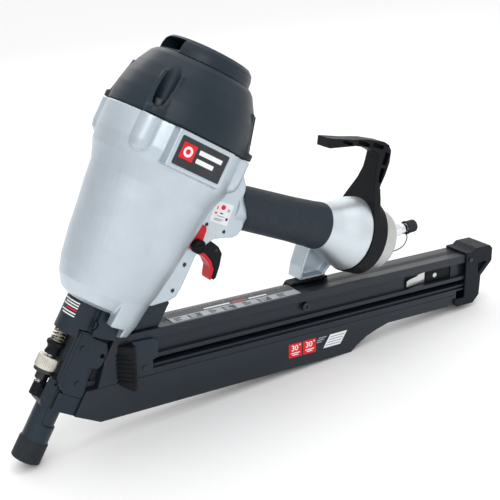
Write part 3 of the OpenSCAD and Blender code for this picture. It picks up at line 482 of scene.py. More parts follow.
# Long grain of drawn or ground metal, and streaks along the magazine
SATIN_GRAIN = (12, 5, 0.7, ((0, 0.448, 0), (260, 6, 6)))
RAIL_STREAK = (8, 4, 0.6, ((0, 0.0888, 0), (3, 60, 60)))
GROUND_LINE = (10, 4, 0.6, ((0, 0.6125, 0), (30, 30, 500)))
M = {
    "silver": finish(
        ("silver_paint", (0.52, 0.585, 0.64), 0.75, 0.42, 0.15),
        ((16, 5, 0.6), (0.47, 0.535, 0.59), (0.56, 0.625, 0.68)),
        ((34, 4), 0.35, 0.5), ((1500, 2), 0.02, 0.5), ((90, 2), 0.08, 0.3)),
    "bulb": finish(
        ("satin_metal", (0.64, 0.70, 0.74), 0.9, 0.42, 0.1),
        (SATIN_GRAIN, (0.62, 0.68, 0.72), (0.67, 0.73, 0.77)),
        (SATIN_GRAIN, 0.38, 0.46), (SATIN_GRAIN, 0.004, 0.3)),
    "cast": finish(
        ("cast_grey", (0.50, 0.51, 0.50), 0.8, 0.45),
        ((30, 4), (0.44, 0.45, 0.44), (0.56, 0.57, 0.56)),
        ((200, 3), 0.4, 0.55), ((1400, 2), 0.05, 0.6)),
    "charcoal": finish(
        ("charcoal_paint", (0.009, 0.018, 0.028), 0.0, 0.40, 0.05, 0.28),
        ((14, 3), (0.008, 0.0165, 0.026), (0.0105, 0.0205, 0.032)),
        ((50, 4), 0.34, 0.46), ((1700, 2), 0.035, 0.6),
        worn=((0.08, 0.09, 0.105), 0.535, 0.66, 0.3)),
    "rail": finish(
        ("rail_paint", (0.009, 0.015, 0.023), 0.0, 0.34, 0.05, 0.3),
        ((10, 3), (0.008, 0.0135, 0.021), (0.011, 0.0175, 0.027)),
        (RAIL_STREAK, 0.33, 0.38), ((1900, 2), 0.02, 0.5)),
    "plastic": finish(
        ("black_plastic", (0.004, 0.0055, 0.008), 0.0, 0.42, 0.0, 0.15),
        ((25, 3), (0.0034, 0.0047, 0.0066), (0.005, 0.0068, 0.0098)),
        ((160, 3), 0.4, 0.55), ((1300, 3), 0.05, 0.6)),
    "dark_moulding": finish(
        ("dark_moulding", (0.005, 0.008, 0.013), 0.0, 0.46, 0.0, 0.17),
        ((25, 3), (0.0042, 0.0068, 0.011), (0.0062, 0.0098, 0.0155)),
        ((160, 3), 0.4, 0.55), ((1300, 3), 0.05, 0.6)),
    "rubber": finish(
        ("rubber", (0.013, 0.016, 0.020), 0.0, 0.66, 0.0, 0.3),
        ((30, 4), (0.011, 0.014, 0.018), (0.016, 0.020, 0.025)),
        ((220, 3), 0.62, 0.8), ((1100, 3), 0.07, 0.7)),
    "grip": finish(
        ("grip_rubber", (0.014, 0.022, 0.032), 0.0, 0.58, 0.0, 0.32),
        ((22, 4), (0.0125, 0.0195, 0.029), (0.018, 0.0265, 0.038)),
        ((240, 3), 0.52, 0.68), ((1200, 3), 0.05, 0.6)),
    "crimson": finish(
        ("crimson_plastic", (0.60, 0.004, 0.016), 0.0, 0.36, 0.0, 0.3),
        ((40, 3), (0.52, 0.003, 0.013), (0.66, 0.006, 0.020)),
        ((180, 3), 0.32, 0.45), ((1300, 3), 0.03, 0.5)),
    "black_steel": finish(
        ("black_steel", (0.045, 0.046, 0.05), 0.8, 0.36),
        ((90, 3), (0.032, 0.033, 0.037), (0.07, 0.071, 0.076)),
        ((300, 3), 0.32, 0.5), ((1500, 2), 0.02, 0.5)),
    "steel": finish(
        ("bright_steel", (0.62, 0.62, 0.62), 1.0, 0.28),
        (GROUND_LINE, (0.54, 0.54, 0.54), (0.70, 0.70, 0.70)),
        (GROUND_LINE, 0.22, 0.36), (GROUND_LINE, 0.01, 0.4)),
    "spring": finish(
        ("spring_wire", (0.26, 0.22, 0.165), 1.0, 0.35),
        ((300, 3), (0.19, 0.16, 0.12), (0.36, 0.31, 0.235)), ((500, 2), 0.28, 0.44)),
    "wheel": finish(
        ("wheel_nickel", (0.62, 0.59, 0.53), 0.9, 0.3),
        ((120, 3), (0.53, 0.50, 0.45), (0.70, 0.67, 0.61)), ((300, 2), 0.26, 0.42)),
    "chrome": finish(
        ("chrome", (0.78, 0.79, 0.81), 1.0, 0.12),
        ((60, 2), (0.72, 0.73, 0.75), (0.84, 0.85, 0.87)), ((200, 3), 0.09, 0.2)),
    "brass": finish(
        ("machined_brass", (0.66, 0.46, 0.18), 1.0, 0.3),
        ((90, 3), (0.58, 0.40, 0.15), (0.72, 0.52, 0.22)), ((260, 3), 0.25, 0.4)),
    "urethane": finish(
        ("urethane", (0.32, 0.17, 0.06), 0.0, 0.5),
        ((60, 3), (0.27, 0.14, 0.05), (0.37, 0.20, 0.08)), ((200, 3), 0.42, 0.58)),
    "plate": finish(
        ("plate_black", (0.025, 0.027, 0.032), 0.0, 0.35, 0.0, 0.35),
        ((80, 3), (0.020, 0.022, 0.027), (0.032, 0.034, 0.039)), ((300, 3), 0.3, 0.42)),
    "white": finish(
        ("label_white", (0.80, 0.81, 0.82), 0.0, 0.4, 0.3),
        ((70, 3), (0.74, 0.75, 0.76), (0.84, 0.85, 0.86)), ((300, 3), 0.34, 0.48)),
    "label_silver": finish(
        ("label_silver", (0.32, 0.35, 0.38), 0.3, 0.4, 0.0, 0.3),
        ((70, 3), (0.28, 0.31, 0.34), (0.36, 0.39, 0.42)), ((300, 3), 0.34, 0.48)),
    "label_grey": finish(
        ("label_grey", (0.030, 0.036, 0.042), 0.0, 0.42, 0.0, 0.3),
        ((70, 3), (0.025, 0.030, 0.036), (0.038, 0.044, 0.051)), ((300, 3), 0.36, 0.5)),
    "red": finish(
        ("label_red", (0.70, 0.008, 0.018), 0.0, 0.4, 0.0, 0.3),
        ((70, 3), (0.64, 0.006, 0.015), (0.76, 0.011, 0.022)), ((300, 3), 0.34, 0.48)),
}

SLOT_LOOK = {
    "silver_paint": "silver", "grip_rubber": "grip", "dark_plate": "plate", "white_label": "white",
    "red_label": "red", "charcoal_paint": "charcoal", "charcoal_plastic": "charcoal",
    "black_plastic": "plastic", "black_rubber": "rubber", "urethane": "urethane",
    "red_plastic": "crimson", "black_steel": "black_steel", "bright_steel": "steel",
    "spring_steel": "steel", "brassy_spring": "spring", "cast_aluminium": "cast",
    "valve_brass": "brass", "wheel_steel": "wheel", "plug_chrome": "chrome",
}
NODE_SLOT = {row["node"]: row["material_slot"] for row in frame["record"]["subparts"]}
for node_name, node_obj in NODES.items():
    node_obj.data.materials.clear()
    node_obj.data.materials.append(M[SLOT_LOOK[NODE_SLOT[node_name]]])


def paint(obj, look):
    """Gives the object one finish."""
    obj.data.materials.clear()
    obj.data.materials.append(M[look])
    return obj


def piece(obj, look=None, body="root", nodes=()):
    """Dresses a finished object, rides it on its body and hides the CAD nodes it stands for."""
    if look:
        paint(obj, look)
    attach(obj, body)
    if nodes:
        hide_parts(*nodes)
    return obj


def moulded(node, name, look, body, voxel, smooth, angle=60):
    """A soft-edged casting or moulding in place of a CAD node."""
    return piece(cast(copy_of(node, name), voxel, smooth, angle), look, body, [node])


# ---------------- housing, cap and deflector

# Skin of the bulb as (radius, distance along the handle)
BULB_SHELL = [
    (22.0, 96.9), (24.1, 97.0), (25.9, 103), (28.1, 109), (31.0, 115), (33.5, 120), (35.7, 125),
    (37.3, 130), (38.3, 135), (38.66, 137.9), (38.4, 138.4), (36.0, 138.4), (35.0, 128), (30.0, 118),
    (22.0, 104),
]
# The nameplate's rim: Y of its foot, its crest and its inner foot
RIM_FOOT, RIM_CREST, RIM_INNER_FOOT = 68.2, 69.0, 67.6
# Where the bare bulb starts along the handle and how far out it goes, and the strut it leaves painted
BULB_START, BULB_REACH = 96.5, 39.4
STRUT_TOP, STRUT_REAR, STRUT_Y, STRUT_HALF = -24, 118, 21, 13
# Pins and holes of the rear flange, as x, z and radius, and the Y of its two faces
FLANGE_PINS = ((63.1, 262.6, 1.5), (84.2, 262.6, 1.5), (59.6, 220, 1.75), (59.6, 193.4, 1.75))
FLANGE_FACE = 13.9


def on_bulb(p):
    """Whether a point of the handle's frame is on the bare bulb, and off the painted strut below it."""
    on_strut = p.z < STRUT_TOP and p.x < STRUT_REAR and abs(p.y - STRUT_Y) < STRUT_HALF
    return p.x > BULB_START and math.hypot(p.y, p.z) < BULB_REACH and not on_strut


def make_housing():
    """The cast housing: rounded edges, nameplate rims, a satin bulb at the rear of the handle."""
    body = cast(copy_of("housing", "housing_cast"), 0.85, 5)
    # The bulb is bare satin metal behind the grip; everything else is painted
    body.data.materials.append(M["silver"])
    body.data.materials.append(M["bulb"])
    to_handle = HANDLE.inverted()
    for face in body.data.polygons:
        if on_bulb(to_handle @ face.center):
            face.material_index = 1
    smooth = [BULB_SHELL[0]] + lathe_curve(BULB_SHELL[1:10]) + BULB_SHELL[10:]
    bulb = paint(smooth_shade(lathe("bulb", smooth, ALONG_HANDLE, 160), 40), "bulb")
    outer = rounded(-33.2, 296.6, 23.2, 327.9, 2.2)
    inner = rounded(-31.2, 298.5, 21.2, 325.9, 1.2)
    levels = ((outer, RIM_FOOT), (outer, RIM_CREST), (inner, RIM_CREST), (inner, RIM_INNER_FOOT))
    rims = []
    for side in (-1, 1):
        loops = [[(x, side * y, z) for x, z in shape] for shape, y in levels]
        rim = bevelled(sweep("rim", loops, TOOL, closed=True), 0.3, 2, 50)
        rims.append(smooth_shade(paint(rim, "silver"), 35))
    piece(joined("housing_cast", [body, bulb] + rims), None, "root", ["housing"])
    pins = []
    for x, z, r in FLANGE_PINS:
        for side in (-1, 1):
            m = placed(TOOL, (x, side * FLANGE_FACE, z), -90 * side, "X")
            profile = [(0.6, 0), (r, 0), (r, 0.5), (r - 0.25, 0.75), (0.6, 0.75)]
            pins.append(lathe("pin", profile, m, 24))
    piece(smooth_shade(joined("flange_pins", pins)), "black_steel", "root", ["valve_pins"])


make_housing()
moulded("cap", "cap_casting", "charcoal", "root", 0.8, 14)
moulded("exhaust_deflector", "deflector_moulding", "charcoal", "deflector", 0.5, 1, 45)

# ---------------- nameplate and labels

# Nameplate panels on the near side: x0, z0, x1, z1, inner and outer Y, look, corner radius
PLATE_PANELS = (
    (-30, 299.6, 20.2, 325, 68.1, 68.86, "plate", 0.8),
    (-26.6, 306.6, -12.6, 320.6, 68.8, 68.98, "red", 0.5),
    (-9.2, 315.4, 15.2, 319.4, 68.8, 68.98, "white", 0.5),
    (-9.2, 307.8, 9.4, 311.8, 68.8, 68.98, "white", 0.5),
)
# The far plate mirrors the near one about this x; the ring stands in the red panel
PLATE_MIDDLE = -4.9
PLATE_RING = (-19.6, 68.9, 313.6)
# The mode sticker's centre and tilt, the Y of its sheet and of its marks, and the marks by their corners
STICKER_X, STICKER_Z, STICKER_TILT = 72.6, 277.8, 4.8
STICKER_Y, MARK_Y = (-15.2, -15.02), (-15.32, -15.0)
STICKER_MARKS = (
    (-2.6, 3.2, 2.2, 7.8, "red", 2.0), (-1.6, -1.0, 1.6, 0.2, "label_grey", 0.3),
    (-6.8, 2.2, -5.6, 5.4, "red", 0.4), (-7.4, -2.2, -5.0, -0.4, "red", 0.6),
    (5.2, 3.0, 8.0, 3.7, "label_grey", 0.2), (5.2, 4.6, 8.0, 5.3, "label_grey", 0.2),
    (-6.0, -6.4, 4.0, -5.9, "label_grey", 0.15), (-6.0, -7.8, 2.0, -7.3, "label_grey", 0.15),
    (6.2, -5.6, 8.8, -3.0, "label_grey", 0.5), (-3.8, -3.6, 4.4, -3.1, "label_grey", 0.15),
)
# The loading guide lies on the rail's top; its fields start at these m
GUIDE_TOP = 104.34
GUIDE_FIELDS = (151, 168, 189, 206, 227, 246, 267)
GUIDE_TICKS, TICK_START, TICK_PITCH = 44, 152, 3.2
# Angle stickers: their m and length, and what they say
ANGLE_STICKERS, ANGLE_LENGTH, ANGLE_TEXT = (278, 295.6), 15.9, "30"


def make_nameplates():
    """A dark plate on each side with a generic red panel and two pale bars."""
    parts = []
    for side in (-1, 1):
        for x0, z0, x1, z1, y0, y1, look, r in PLATE_PANELS:
            if side > 0:
                x0, x1 = 2 * PLATE_MIDDLE - x1, 2 * PLATE_MIDDLE - x0
            panel = prism("p", rounded(x0, z0, x1, z1, r, 4), side * y0, side * y1, TOOL)
            parts.append(paint(panel, look))
        x, y, z = PLATE_RING
        m = placed(TOOL, (x if side < 0 else 2 * PLATE_MIDDLE - x, side * y, z), -90 * side, "X")
        ring = lathe("ring", [(2.4, 0), (4.6, 0), (4.6, 0.18), (2.4, 0.18)], m, 40)
        parts.append(paint(ring, "white"))
    piece(smooth_shade(joined("nameplates", parts)), None, "root", ["nameplate"])


def make_mode_label():
    """White sticker by the trigger with plain signs for the two modes."""
    m = placed(TOOL, (STICKER_X, 0, STICKER_Z), -STICKER_TILT, "Y")
    parts = [paint(prism("p", rounded(-10.3, -10.3, 10.3, 10.3, 0.8), *STICKER_Y, m), "white")]
    for x0, z0, x1, z1, look, r in STICKER_MARKS:
        parts.append(paint(prism("p", rounded(x0, z0, x1, z1, r), *MARK_Y, m), look))
    piece(smooth_shade(joined("mode_sticker", parts)), None, "root", ["mode_label"])


def text_mesh(text, size, look, matrix):
    """Plain numerals as a thin solid."""
    curve = bpy.data.curves.new("t", "FONT")
    curve.body, curve.size, curve.align_x, curve.align_y = text, size, "CENTER", "CENTER"
    curve.extrude = 0.06
    curve.offset = 0.16
    curve.resolution_u = 3
    obj = link("t", curve)
    graph = bpy.context.evaluated_depsgraph_get()
    mesh = bpy.data.meshes.new_from_object(obj.evaluated_get(graph))
    bpy.data.objects.remove(obj)
    mesh.transform(matrix)
    return paint(link("t", mesh), look)


def make_ruler_label():
    """Loading guide on top of the magazine: a dark band, and grey fields with plain bars."""
    parts = []

    def print_on(m0, y0, m1, y1, low, high, look):
        sheet = block("p", (m0, y0, GUIDE_TOP + low), (m1, y1, GUIDE_TOP + high), MAG)
        parts.append(paint(sheet, look))

    print_on(149, -13, 294, 13, 0, 0.2, "label_silver")
    print_on(149.6, -1.2, 293.4, 12.4, 0.1, 0.26, "label_grey")
    rng = random.Random(7)
    for i, m0 in enumerate(GUIDE_FIELDS):
        field, bar = ("label_grey", "label_silver") if i % 2 else ("label_silver", "label_grey")
        print_on(m0, -11.8, m0 + 14, -3.0, 0.1, 0.26, field)
        for k in range(3):
            width = rng.uniform(5.0, 10.0)
            print_on(m0 + 2, -10.8 + 2.8 * k, m0 + 2 + width, -9.0 + 2.8 * k, 0.2, 0.3, bar)
    print_on(222, 1.0, 238, 3.6, 0.2, 0.31, "red")
    for m0, m1 in ((190, 219), (241, 262)):
        print_on(m0, 1.0, m1, 3.6, 0.2, 0.31, "white")
    for i in range(GUIDE_TICKS):
        m0 = TICK_START + TICK_PITCH * i
        print_on(m0, 9.6 if i % 5 else 7.8, m0 + 0.5, 12.0, 0.2, 0.31, "label_silver")
    piece(joined("loading_guide", parts), None, "root", ["ruler_label"])


def make_angle_labels():
    """Two red stickers with the strip angle in numerals, and a pale slanted one."""
    parts = []
    y = -MAGAZINE_HALF

    def print_on(outline, high, low, look):
        parts.append(paint(prism("p", outline, y - high, y - low, MAG), look))

    for m0 in ANGLE_STICKERS:
        print_on(rounded(m0, 36.2, m0 + ANGLE_LENGTH, 51.6, 0.8), 0.2, 0.02, "red")
        numerals = placed(MAG, (m0 + 7.2, y - 0.21, 46.2), 90, "X")
        parts.append(text_mesh(ANGLE_TEXT, 8.6, "white", numerals))
        degree = placed(MAG, (m0 + 13.4, y - 0.21, 49.2), 90, "X")
        ring = lathe("r", [(0.45, -0.05), (0.95, -0.05), (0.95, 0.06), (0.45, 0.06)], degree, 20)
        parts.append(paint(ring, "white"))
        middle = m0 + 7.95
        for z0, w in ((40.4, 11), (38.4, 7)):
            bar = rounded(middle - w / 2, z0, middle + w / 2, z0 + 1.1, 0.3, 3)
            print_on(bar, 0.27, 0.1, "white")
    print_on([(321, 37.4), (343, 37.6), (351.6, 51.2), (329.6, 51)], 0.2, 0.02, "white")
    for z0 in (39.5, 42.3, 45.1, 47.9):
        shift = (z0 - 37.4) / 13.6 * 8.6
        line = [(323, z0), (341, z0), (341.6, z0 + 1.0), (323.6, z0 + 1.0)]
        print_on([(m + shift, z) for m, z in line], 0.26, 0.1, "label_silver")
    for z0, a, b in ((49.6, 315, 325), (47.4, 313, 322), (45.2, 312.5, 319)):
        print_on(rounded(a, z0, b, z0 + 1.1, 0.3, 3), 0.16, 0.01, "label_silver")
    piece(joined("angle_stickers", parts), None, "root", ["angle_labels"])


make_nameplates()
make_mode_label()
make_ruler_label()
make_angle_labels()

# ---------------- grip, bulb end, hook

# Rubber sleeve: (distance along the handle, radius), its bore, end and step, its ribs,
# and the outline of the handle's root in the tool frame
GRIP_STATIONS = [(-11.0, 20.6), (4.0, 21.6), (60.0, 22.4), (86.0, 23.6), (94.0, 24.4), (96.2, 24.2)]
GRIP_BORE, GRIP_END, GRIP_STEP = 18.56, 97.0, 0.42
RIB_PITCH, RIB_DEPTH = 3.1, 0.34
GRIP_ROOT = [
    (54, 250), (70.8, 243), (77, 252.4), (88.5, 257.9), (96, 260.8), (100, 265), (101.6, 271),
    (101.4, 277), (99.4, 283), (94, 289.5), (88.6, 297), (87, 306), (85, 311), (77, 320), (70, 326),
    (54, 326),
]
# Turned profiles are closed loops of (radius, height)
PLUG_PROFILE = [
    (2.6, 10), (6.35, 10), (6.35, 26), (5.2, 26.4), (5.2, 38), (5.6, 40), (5.9, 40.5), (5.9, 44.4),
    (5.3, 45), (4.2, 45.4), (4.2, 48.6), (5.3, 49), (5.9, 49.6), (5.9, 52.4), (5.3, 53), (4.0, 53.4),
    (4.0, 58.6), (3.6, 59), (2.6, 59),
]
PLUG_HEX = [(2.6, 24.1), (6.6, 24.1), (7.4, 24.8), (7.4, 39.2), (6.6, 39.9), (2.6, 39.9)]
DUST_CAP_PROFILE = [
    (5.98, 47.6), (7.0, 47.6), (7.4, 48.0), (7.4, 50.0), (7.2, 50.4), (6.8, 50.9), (6.85, 54),
    (6.85, 58.6), (6.6, 60.0), (5.8, 60.9), (4.6, 61.0), (0.0, 61.0), (0.0, 59.4), (5.98, 59.4),
]
# The dust cap's tether in the inlet's frame, with part.scad's points
TETHER_ROUTE = [
    (8, 0, 50), (11, -1, 50), (15, -2, 47.5), (18.5, -3, 43), (20.5, -3, 37.5), (21.3, -3, 31),
    (21, -3, 24), (20, -2, 17), (18.6, -1, 10.5), (18, 0, 4.6),
]
TETHER_RADIUS = 0.6


def clamped(value):
    """The value kept between 0 and 1."""
    return min(1.0, max(0.0, value))


def grip_radius(a):
    """The sleeve's radius at a distance along the handle."""
    for (a0, r0), (a1, r1) in zip(GRIP_STATIONS, GRIP_STATIONS[1:]):
        if a <= a1:
            return r0 + (r1 - r0) * (a - a0) / (a1 - a0)
    return GRIP_STATIONS[-1][1]


def grip_ribs(angle, r, a):
    """Fine grooves that fade in along the handle and stay off its top."""
    if r < 20:
        return r
    along = clamped((a - 22) / 14) * clamped((93 - a) / 3)
    around = clamped((0.86 + math.cos(angle)) / 0.25)
    depth = RIB_DEPTH * along * around
    groove = max(0.0, 1 - abs((a / RIB_PITCH) % 1.0 - 0.5) / 0.17)
    return r - depth * groove ** 0.7


def make_grip():
    """Rubber sleeve with fine ribs round its middle and rear, trimmed to the handle's root."""
    start = GRIP_STATIONS[0][0]
    count = int((GRIP_STATIONS[-1][0] - start) / GRIP_STEP)
    skin = [(grip_radius(a), a) for a in (start + GRIP_STEP * i for i in range(count + 1))]
    profile = [(GRIP_BORE, start)] + skin + [(23.6, GRIP_END), (GRIP_BORE, GRIP_END)]
    grip = lathe("grip_sleeve", profile, ALONG_HANDLE, 120, grip_ribs)
    cutter = prism("c", [(x + 0.25, z) for x, z in GRIP_ROOT], -30, 30, TOOL)
    barrel = lathe("c", [(0.0, 240), (69.2, 240), (69.2, 340), (0.0, 340)], TOOL)
    bevelled(boolean(grip, [cutter, barrel]), 0.5, 2, 60)
    piece(smooth_shade(grip, 38), "grip", "root", ["handle_grip"])


def plug_lobes(angle, r, z):
    """Six finger hollows round the dust cap."""
    if r > 6.0 and 50.2 < z < 60.0:
        return r - 0.55 * max(0.0, math.cos(6 * angle)) ** 2
    return r


def make_air_plug():
    """Plated quick plug: hex, groove and nipple with a soft edge to every step. Its rubber cap."""
    turned = smooth_shade(lathe("t", PLUG_PROFILE, INLET, 72), 32)
    hexagon = smooth_shade(bevelled(lathe("h", PLUG_HEX, INLET, 6), 0.35, 3), 32)
    piece(joined("quick_plug", [turned, hexagon]), "chrome", "root", ["air_plug"])
    dust = lathe("dust_cap_moulding", DUST_CAP_PROFILE, INLET, 96, plug_lobes)
    piece(smooth_shade(dust, 40), "rubber", "dust_cap", ["dust_cap"])


def make_tether():
    """The cord that holds the dust cap."""
    points = smooth_route(TETHER_ROUTE, 3)
    tether = smooth_shade(tube_path("dust_cap_tether", points, TETHER_RADIUS, INLET, 12), 60)
    piece(tether, "rubber", "root", ["cap_tether"])


make_grip()
moulded("rafter_hook", "rafter_hook_moulding", "plastic", "rafter_hook", 0.55, 3)
moulded("handle_end_cap", "end_cap_casting", "cast", "root", 0.5, 3, 50)
make_air_plug()
make_tether()

# ---------------- trigger and selector

# Selector knob: its turned body, the Y of its foot and of its bar, and the bar's turn in degrees
KNOB_PROFILE = [
    (3.06, 0), (6.4, 0), (6.8, 0.5), (6.8, 5.6), (6.2, 6.4), (5.2, 6.6), (4.4, 6.5), (4.1, 5.8),
    (0, 5.8), (0, 3), (3.06, 3),
]
KNOB_Y, KNOB_BAR_Y, KNOB_TURN = -19.5, (-26.1, -24.6), -28


def knob_flutes(angle, r, z):
    """Eight flutes round the knob's grip."""
    if r > 5.6 and z > 0.9:
        return r - 0.5 * max(0.0, math.cos(8 * angle)) ** 3
    return r


def make_trigger():
    """Trigger, its lever, and the selector with its fluted knob."""
    moulded("trigger_body", "trigger_moulding", "plastic", "trigger", 0.4, 3)
    moulded("trigger_pad", "trigger_pad_moulding", "crimson", "trigger", 0.35, 3)
    lever = soften(copy_of("trigger_lever", "trigger_lever_plate"), 0.25)
    piece(lever, "steel", "trigger", ["trigger_lever"])
    moulded("selector_lever", "selector_lever_moulding", "crimson", "selector", 0.3, 3)
    turn = placed(TOOL, (PIVOT_X, KNOB_Y, PIVOT_Z), 90, "X")
    knob = lathe("selector_knob_moulding", KNOB_PROFILE, turn, 96, knob_flutes)
    across = placed(TOOL, (PIVOT_X, 0, PIVOT_Z), KNOB_TURN, "Y")
    bar = prism("bar", rounded(-5.8, -1.1, 5.8, 1.1, 0.5, 4), *KNOB_BAR_Y, across)
    knob = smooth_shade(joined("selector_knob_moulding", [knob, bar]), 35)
    piece(knob, "plastic", "selector", ["selector_knob"])


# ---------------- nose, contact arm and depth wheel

# Plain signs round the front of the nose flange: lowest z, first and last angle, look
NOSE_SIGNS = (
    (152.6, -44, 16, "white"), (150.2, -44, 4, "white"), (147.8, -44, 12, "white"),
    (145.4, -44, -8, "red"), (142.6, -44, 10, "white"), (140.2, -44, 0, "white"),
)
SIGN_CENTRE_X, SIGN_BACK, SIGN_FACE, SIGN_TALL, SIGN_STEPS = -8, 19.9, 20.08, 1.1, 12
# Ear screws, and the run and radius of the bead down both edges of the nose covers
EAR_X, EAR_Y, EAR_Z = -5.4, 23.2, 141.5
EAR_RING = [(2.3, -0.4), (4.0, -0.4), (4.0, 0.9), (3.6, 1.3), (2.6, 1.3), (2.3, 1.1)]
# Painted shade in the hollows: near-black discs in each ring's bore and round its foot, as inner and
# outer radius, then top
EAR_HOLLOW_SHADES = ((0, 2.3, -0.3), (4.0, 5.1, 0.12))
BEAD_Y, BEAD_RADIUS = 14.1, 1.75
BEAD_RUN = ((-9.6, 129.4), (-9.4, 118), (-9.0, 90), (-7.6, 79.6), (-4.0, 75.6))
# Rubber boot over the tip
BOOT_PROFILE = [
    (6.4, 0.9), (7.2, 0.05), (12.4, 0.0), (13.3, 0.25), (13.85, 0.9), (13.9, 2.0), (13.9, 18.9),
    (13.6, 20.0), (12.8, 20.5), (12.76, 2.15), (6.4, 2.15),
]
# Depth wheel: knurled rim, and the dark collar below it
WHEEL_PROFILE = [
    (3.48, 86.1), (9.9, 86.1), (10.4, 86.7), (10.4, 87.6), (10.4, 90), (10.4, 94), (10.4, 96.6),
    (10.4, 97.3), (9.9, 97.95), (3.48, 97.95),
]
COLLAR_PROFILE = [
    (3.48, 75.4), (5.0, 75.4), (5.4, 75.9), (5.4, 82.3), (9.0, 82.5), (9.6, 83.1), (9.6, 85.6),
    (9.2, 86.05), (3.48, 86.05),
]
KNURLS, KNURL_DEPTH = 36, 0.42
SPOOL_PROFILE = [
    (3.48, 100.1), (6.6, 100.1), (7.0, 100.6), (6.7, 102), (6.0, 105), (6.6, 107), (8.3, 109),
    (8.6, 109.7), (8.6, 111.7), (8.2, 112.2), (7.4, 112.6), (3.48, 112.6),
]
THREAD_START, THREAD_PITCH, THREAD_TURNS = 66.6, 1.6, 44
# Contact spring: coil radius, wire radius, first and last height, turns
COIL_RADIUS, COIL_WIRE, COIL_Z, COIL_TURNS = 6.2, 0.72, (113.6, 123.1), 4.6


def make_nose():
    """Nose casting with its signs, the ear screws, and the cover plates with their beads."""
    nose = paint(cast(copy_of("nose_body", "nose_casting"), 0.55, 3), "charcoal")
    signs = []
    for z, first, last, look in NOSE_SIGNS:
        top = z + SIGN_TALL
        corners = ((SIGN_BACK, z), (SIGN_FACE, z), (SIGN_FACE, top), (SIGN_BACK, top))
        loops = []
        for k in range(SIGN_STEPS + 1):
            a = math.radians(first + (last - first) * k / SIGN_STEPS)
            loops.append([(SIGN_CENTRE_X - r * math.cos(a), r * math.sin(a), h) for r, h in corners])
        signs.append(paint(sweep("strip", loops, TOOL), look))
    piece(joined("nose_casting", [nose] + signs), None, "root", ["nose_body"])
    screws = []
    for side in (-1, 1):
        m = placed(TOOL, (EAR_X, side * EAR_Y, EAR_Z), -90, "Y")
        screws.append(paint(smooth_shade(lathe("s", EAR_RING, m, 40)), "black_steel"))
        # The hollows in and round each ring are painted shade, near-black
        for r0, r1, z in EAR_HOLLOW_SHADES:
            hollow_shade = lathe("s", [(r0, -1.2), (r1, -1.2), (r1, z), (r0, z)], m, 40)
            screws.append(paint(smooth_shade(hollow_shade), "plastic"))
    piece(joined("ear_screws", screws), None, "root")
    covers = [cast(copy_of("nose_covers", "nose_cover_plates"), 0.45, 2)]
    for side in (-1, 1):
        run = [(x, side * BEAD_Y, z) for x, z in BEAD_RUN]
        covers.append(smooth_shade(tube_path("bead", run, BEAD_RADIUS, TOOL, 20), 50))
    piece(joined("nose_cover_plates", covers), "charcoal", "root", ["nose_covers"])


def knurl(angle, r, z):
    """Axial knurling on the wheel's rim."""
    if r > 10.2 and 87.0 < z < 97.0:
        return r - KNURL_DEPTH * (0.5 + 0.5 * math.cos(KNURLS * angle)) ** 2
    return r


def make_contact():
    """Contact foot and boot, and the depth adjuster with its stud and spring."""
    moulded("contact_foot", "contact_foot_casting", "charcoal", "foot", 0.4, 2)
    moulded("foot_block", "foot_block_moulding", "plastic", "foot", 0.4, 3)
    boot = smooth_shade(lathe("no_mar_boot", BOOT_PROFILE, TOOL), 40)
    piece(boot, "rubber", "foot", ["no_mar_tip"])
    wheel = paint(smooth_shade(lathe("w", WHEEL_PROFILE, ADJUSTER, 288, knurl), 45), "wheel")
    collar = paint(smooth_shade(lathe("w", COLLAR_PROFILE, ADJUSTER), 35), "black_steel")
    piece(joined("depth_wheel_knurled", [wheel, collar]), None, "depth_wheel", ["depth_wheel"])
    spool = smooth_shade(lathe("adjuster_spool_moulding", SPOOL_PROFILE, ADJUSTER, 72), 35)
    piece(spool, "plastic", "contact_arm", ["adjuster_spool"])
    thread = []
    for i in range(THREAD_TURNS):
        z = THREAD_START + i * THREAD_PITCH
        thread += [(2.9, z), (3.38, z + 0.5), (3.38, z + 0.9), (2.9, z + 1.4)]
    profile = [(0, 66.05), (2.7, 66.05)] + thread + [(2.7, 137.9), (0, 137.9)]
    stud = smooth_shade(lathe("threaded_stud", profile, ADJUSTER, 40))
    piece(stud, "steel", "contact_arm", ["contact_stud"])
    turns = helix(COIL_RADIUS, *COIL_Z, COIL_TURNS, 22)
    coil = smooth_shade(tube_path("contact_coil", turns, COIL_WIRE, ADJUSTER), 60)
    piece(coil, "spring", "root", ["contact_spring"])
    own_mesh(coil)


# ---------------- magazine

# Outlines of the strips let in to the rail's top and the cover's floor, as (m, n)
STRIP_SECTIONS = {
    "magazine_rail": [(85.7, 100.3), (88.0, 104.3), (527, 104.3), (527, 100.3)],
    "magazine_cover": [
        (69.3, 24.3), (HEEL_M, 24.3), (HEEL_M + 8, 30.5), (HEEL_M + 20, 37.5), (HEEL_M + 34, 42.6),
        (HEEL_M + 50, 46.7), (504, 46.7), (504, 50.1), (HEEL_M + 50, 50.1), (HEEL_M + 34, 46.4),
        (HEEL_M + 8, 35), (HEEL_M - 4, 27.5), (71, 27.5),
    ],
}
# Thin fillers over the strips' seams, and the distance that then welds them
SEAM_HALF, SEAM_WELD = 0.03, 0.065
# The nail catch's leaf, and the ridges of the pusher's grip
LEAF_STEPS, LEAF_LENGTH, LEAF_BEND = 14, 20, 3.6
RIDGES, RIDGE_PITCH, RIDGE_DEPTH = 7, 4.4, 2.0
# The pusher's grip: m of its back, Y of its near and far faces
GRIP_BACK, GRIP_NEAR, GRIP_FAR = 103.45, -15.9, -26.5


